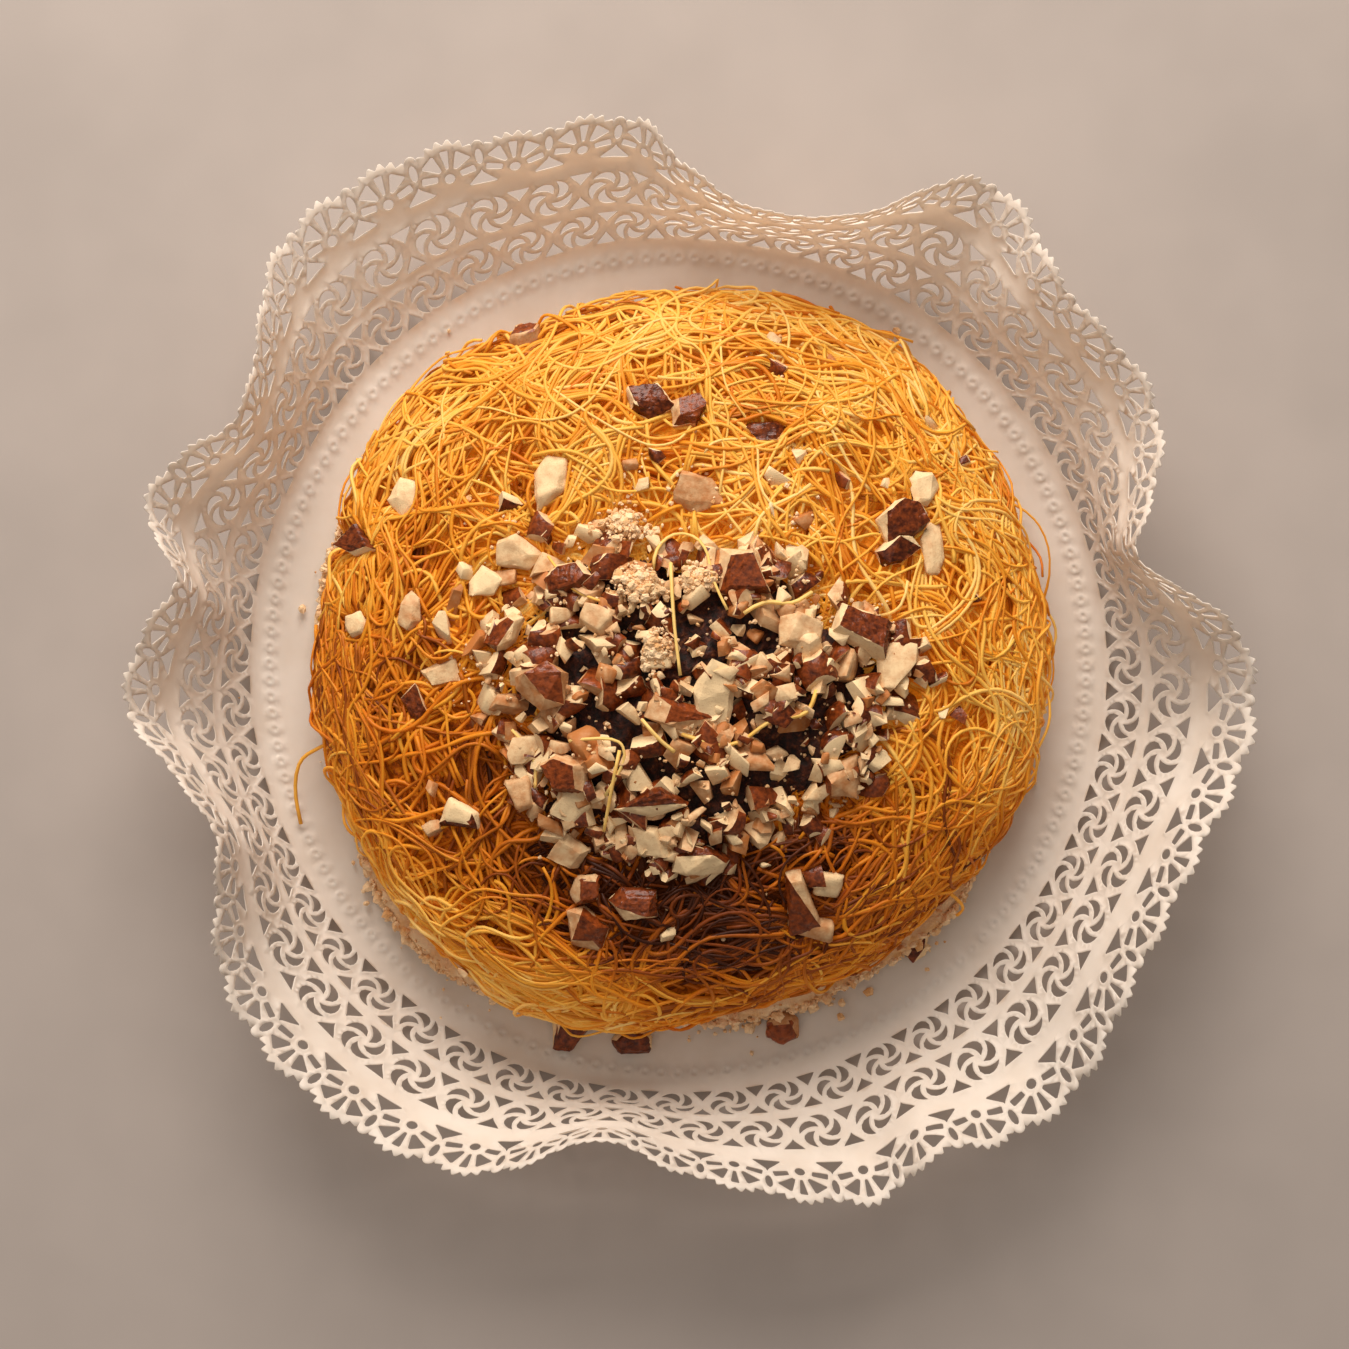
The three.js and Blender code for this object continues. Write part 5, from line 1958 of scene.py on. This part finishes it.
    def _dropped(self, stock: ChoppedStock, place: Array, size: float, rng: np.random.Generator) -> Shape:
        """Drops one piece on the pile.

        Args:
            stock: what it is taken from.
            place: where it lands.
            size: its length.
            rng: which piece, and how it lies.

        Returns:
            The piece where it lies.
        """
        stretch = np.array([1.0, rng.uniform(0.75, 1.05), rng.uniform(0.75, 1.1)])
        tone = rng.uniform(0.7, 1.2) if stock.kind is Chop.TAN else rng.uniform(0.1, 0.75)
        bit = stock.take(size * stretch, tone, rng)
        low, high = bit.vertices[:, 2].min(), bit.vertices[:, 2].max()
        cell = ((place + self.half) / self.cell).astype(int)
        reach = max(int(self.landing * size / self.cell), 1)
        patch = self.pile[cell[0] - reach:cell[0] + reach + 1, cell[1] - reach:cell[1] + reach + 1]
        rest = (patch.max() + patch.mean()) / 2
        limit = min(float(self.form.top(place[0], place[1])) + self.most_above, self.highest)
        height = min(rest - low - self.sinking * size, limit - high)
        patch[:] = np.maximum(patch, height + high * self.filling)
        bit.vertices = bit.vertices + [place[0], place[1], height]
        return bit

    def _crumbs(self, rng: np.random.Generator) -> None:
        """Fine crumbs in the gaps and strewn on the strands."""
        places = self._places(rng, self.crumbs, 0.12)
        for x, y, spread, count in self.spills:
            places = np.concatenate([places, rng.normal((x, y), spread, (count, 2))])
        cell = ((places + self.half) / self.cell).astype(int)
        limit = self.form.top(places[:, 0], places[:, 1]) + self.crumb_above
        height = np.minimum(self.pile[cell[:, 0], cell[:, 1]], limit)
        centres = np.column_stack([places, np.minimum(height, self.highest - 1)])
        shape = scattered_grains(centres, rng.uniform(*self.crumb_size, len(places)), rng)
        shape.piece("heap_crumbs", CrumbFinish("heap_crumbs").make(), "ground_almond", 0)


# ---- Stage ----


@dataclass
class Studio:
    """Floor, lights and the camera that looks straight down."""

    camera_height: float = 1.0
    frame_width: float = 0.3912
    view_centre: tuple[float, float] = (-0.001, -0.00275)
    sensor: float = 36.0
    warm: Colour = (1.0, 0.93, 0.86)
    lights: tuple[tuple[str, tuple[float, float, float], float, float], ...] = (  # name, place, size, watts
        ("window", (-0.12, 1.05, 0.72), 0.9, 25.0), ("sky", (-0.35, 0.0, 1.25), 1.1, 2.2),
    )
    room_light: float = 0.22
    floor_half: float = 3.0
    floor_level: float = -0.0003

    def build(self) -> None:
        """Builds the stage."""
        self._floor()
        for light in self.lights:
            self._light(*light)
        world = bpy.data.worlds.new("room")
        world.use_nodes = True
        background = world.node_tree.nodes["Background"]
        background.inputs["Color"].default_value = (*self.warm, 1.0)
        background.inputs["Strength"].default_value = self.room_light
        bpy.context.scene.world = world
        bpy.context.scene.view_settings.view_transform = "Standard"
        self._camera()

    def _floor(self) -> None:
        """A plain pale floor just under the paper."""
        mesh = bpy.data.meshes.new("floor")
        size, level = self.floor_half, self.floor_level
        corners = [(-size, -size, level), (size, -size, level), (size, size, level), (-size, size, level)]
        mesh.from_pydata(corners, [], [(0, 1, 2, 3)])
        mesh.materials.append(FloorFinish().make())
        floor = put("floor", mesh)

    def _light(self, name: str, place: tuple[float, float, float], size: float, power: float) -> None:
        """A square soft light aimed at the cake."""
        lamp = bpy.data.lights.new(name, "AREA")
        lamp.size, lamp.energy, lamp.color = size, power, self.warm
        light = put(name, lamp)
        light.location = place
        light.rotation_euler = (-Vector(place)).to_track_quat("-Z", "Y").to_euler()

    def _camera(self) -> None:
        """The camera over the cake, with +Y up in the picture."""
        lens = bpy.data.cameras.new("camera")
        lens.sensor_width = self.sensor
        lens.lens = self.sensor * self.camera_height / self.frame_width
        camera = put("camera", lens)
        camera.location = (*self.view_centre, self.camera_height)
        bpy.context.scene.camera = camera


def main() -> None:
    """Builds the cake and its stage."""
    logging.basicConfig(level=logging.INFO, format="%(message)s", stream=sys.stdout)
    Studio().build()
    form = CakeForm()
    LacePaper().build()
    CrumbBase(form).build()
    NoodleNest(form, DomeMap(form)).build()
    AlmondHeap(form).build()
    LargerPieces().build()


if __name__ == "__main__":
    main()
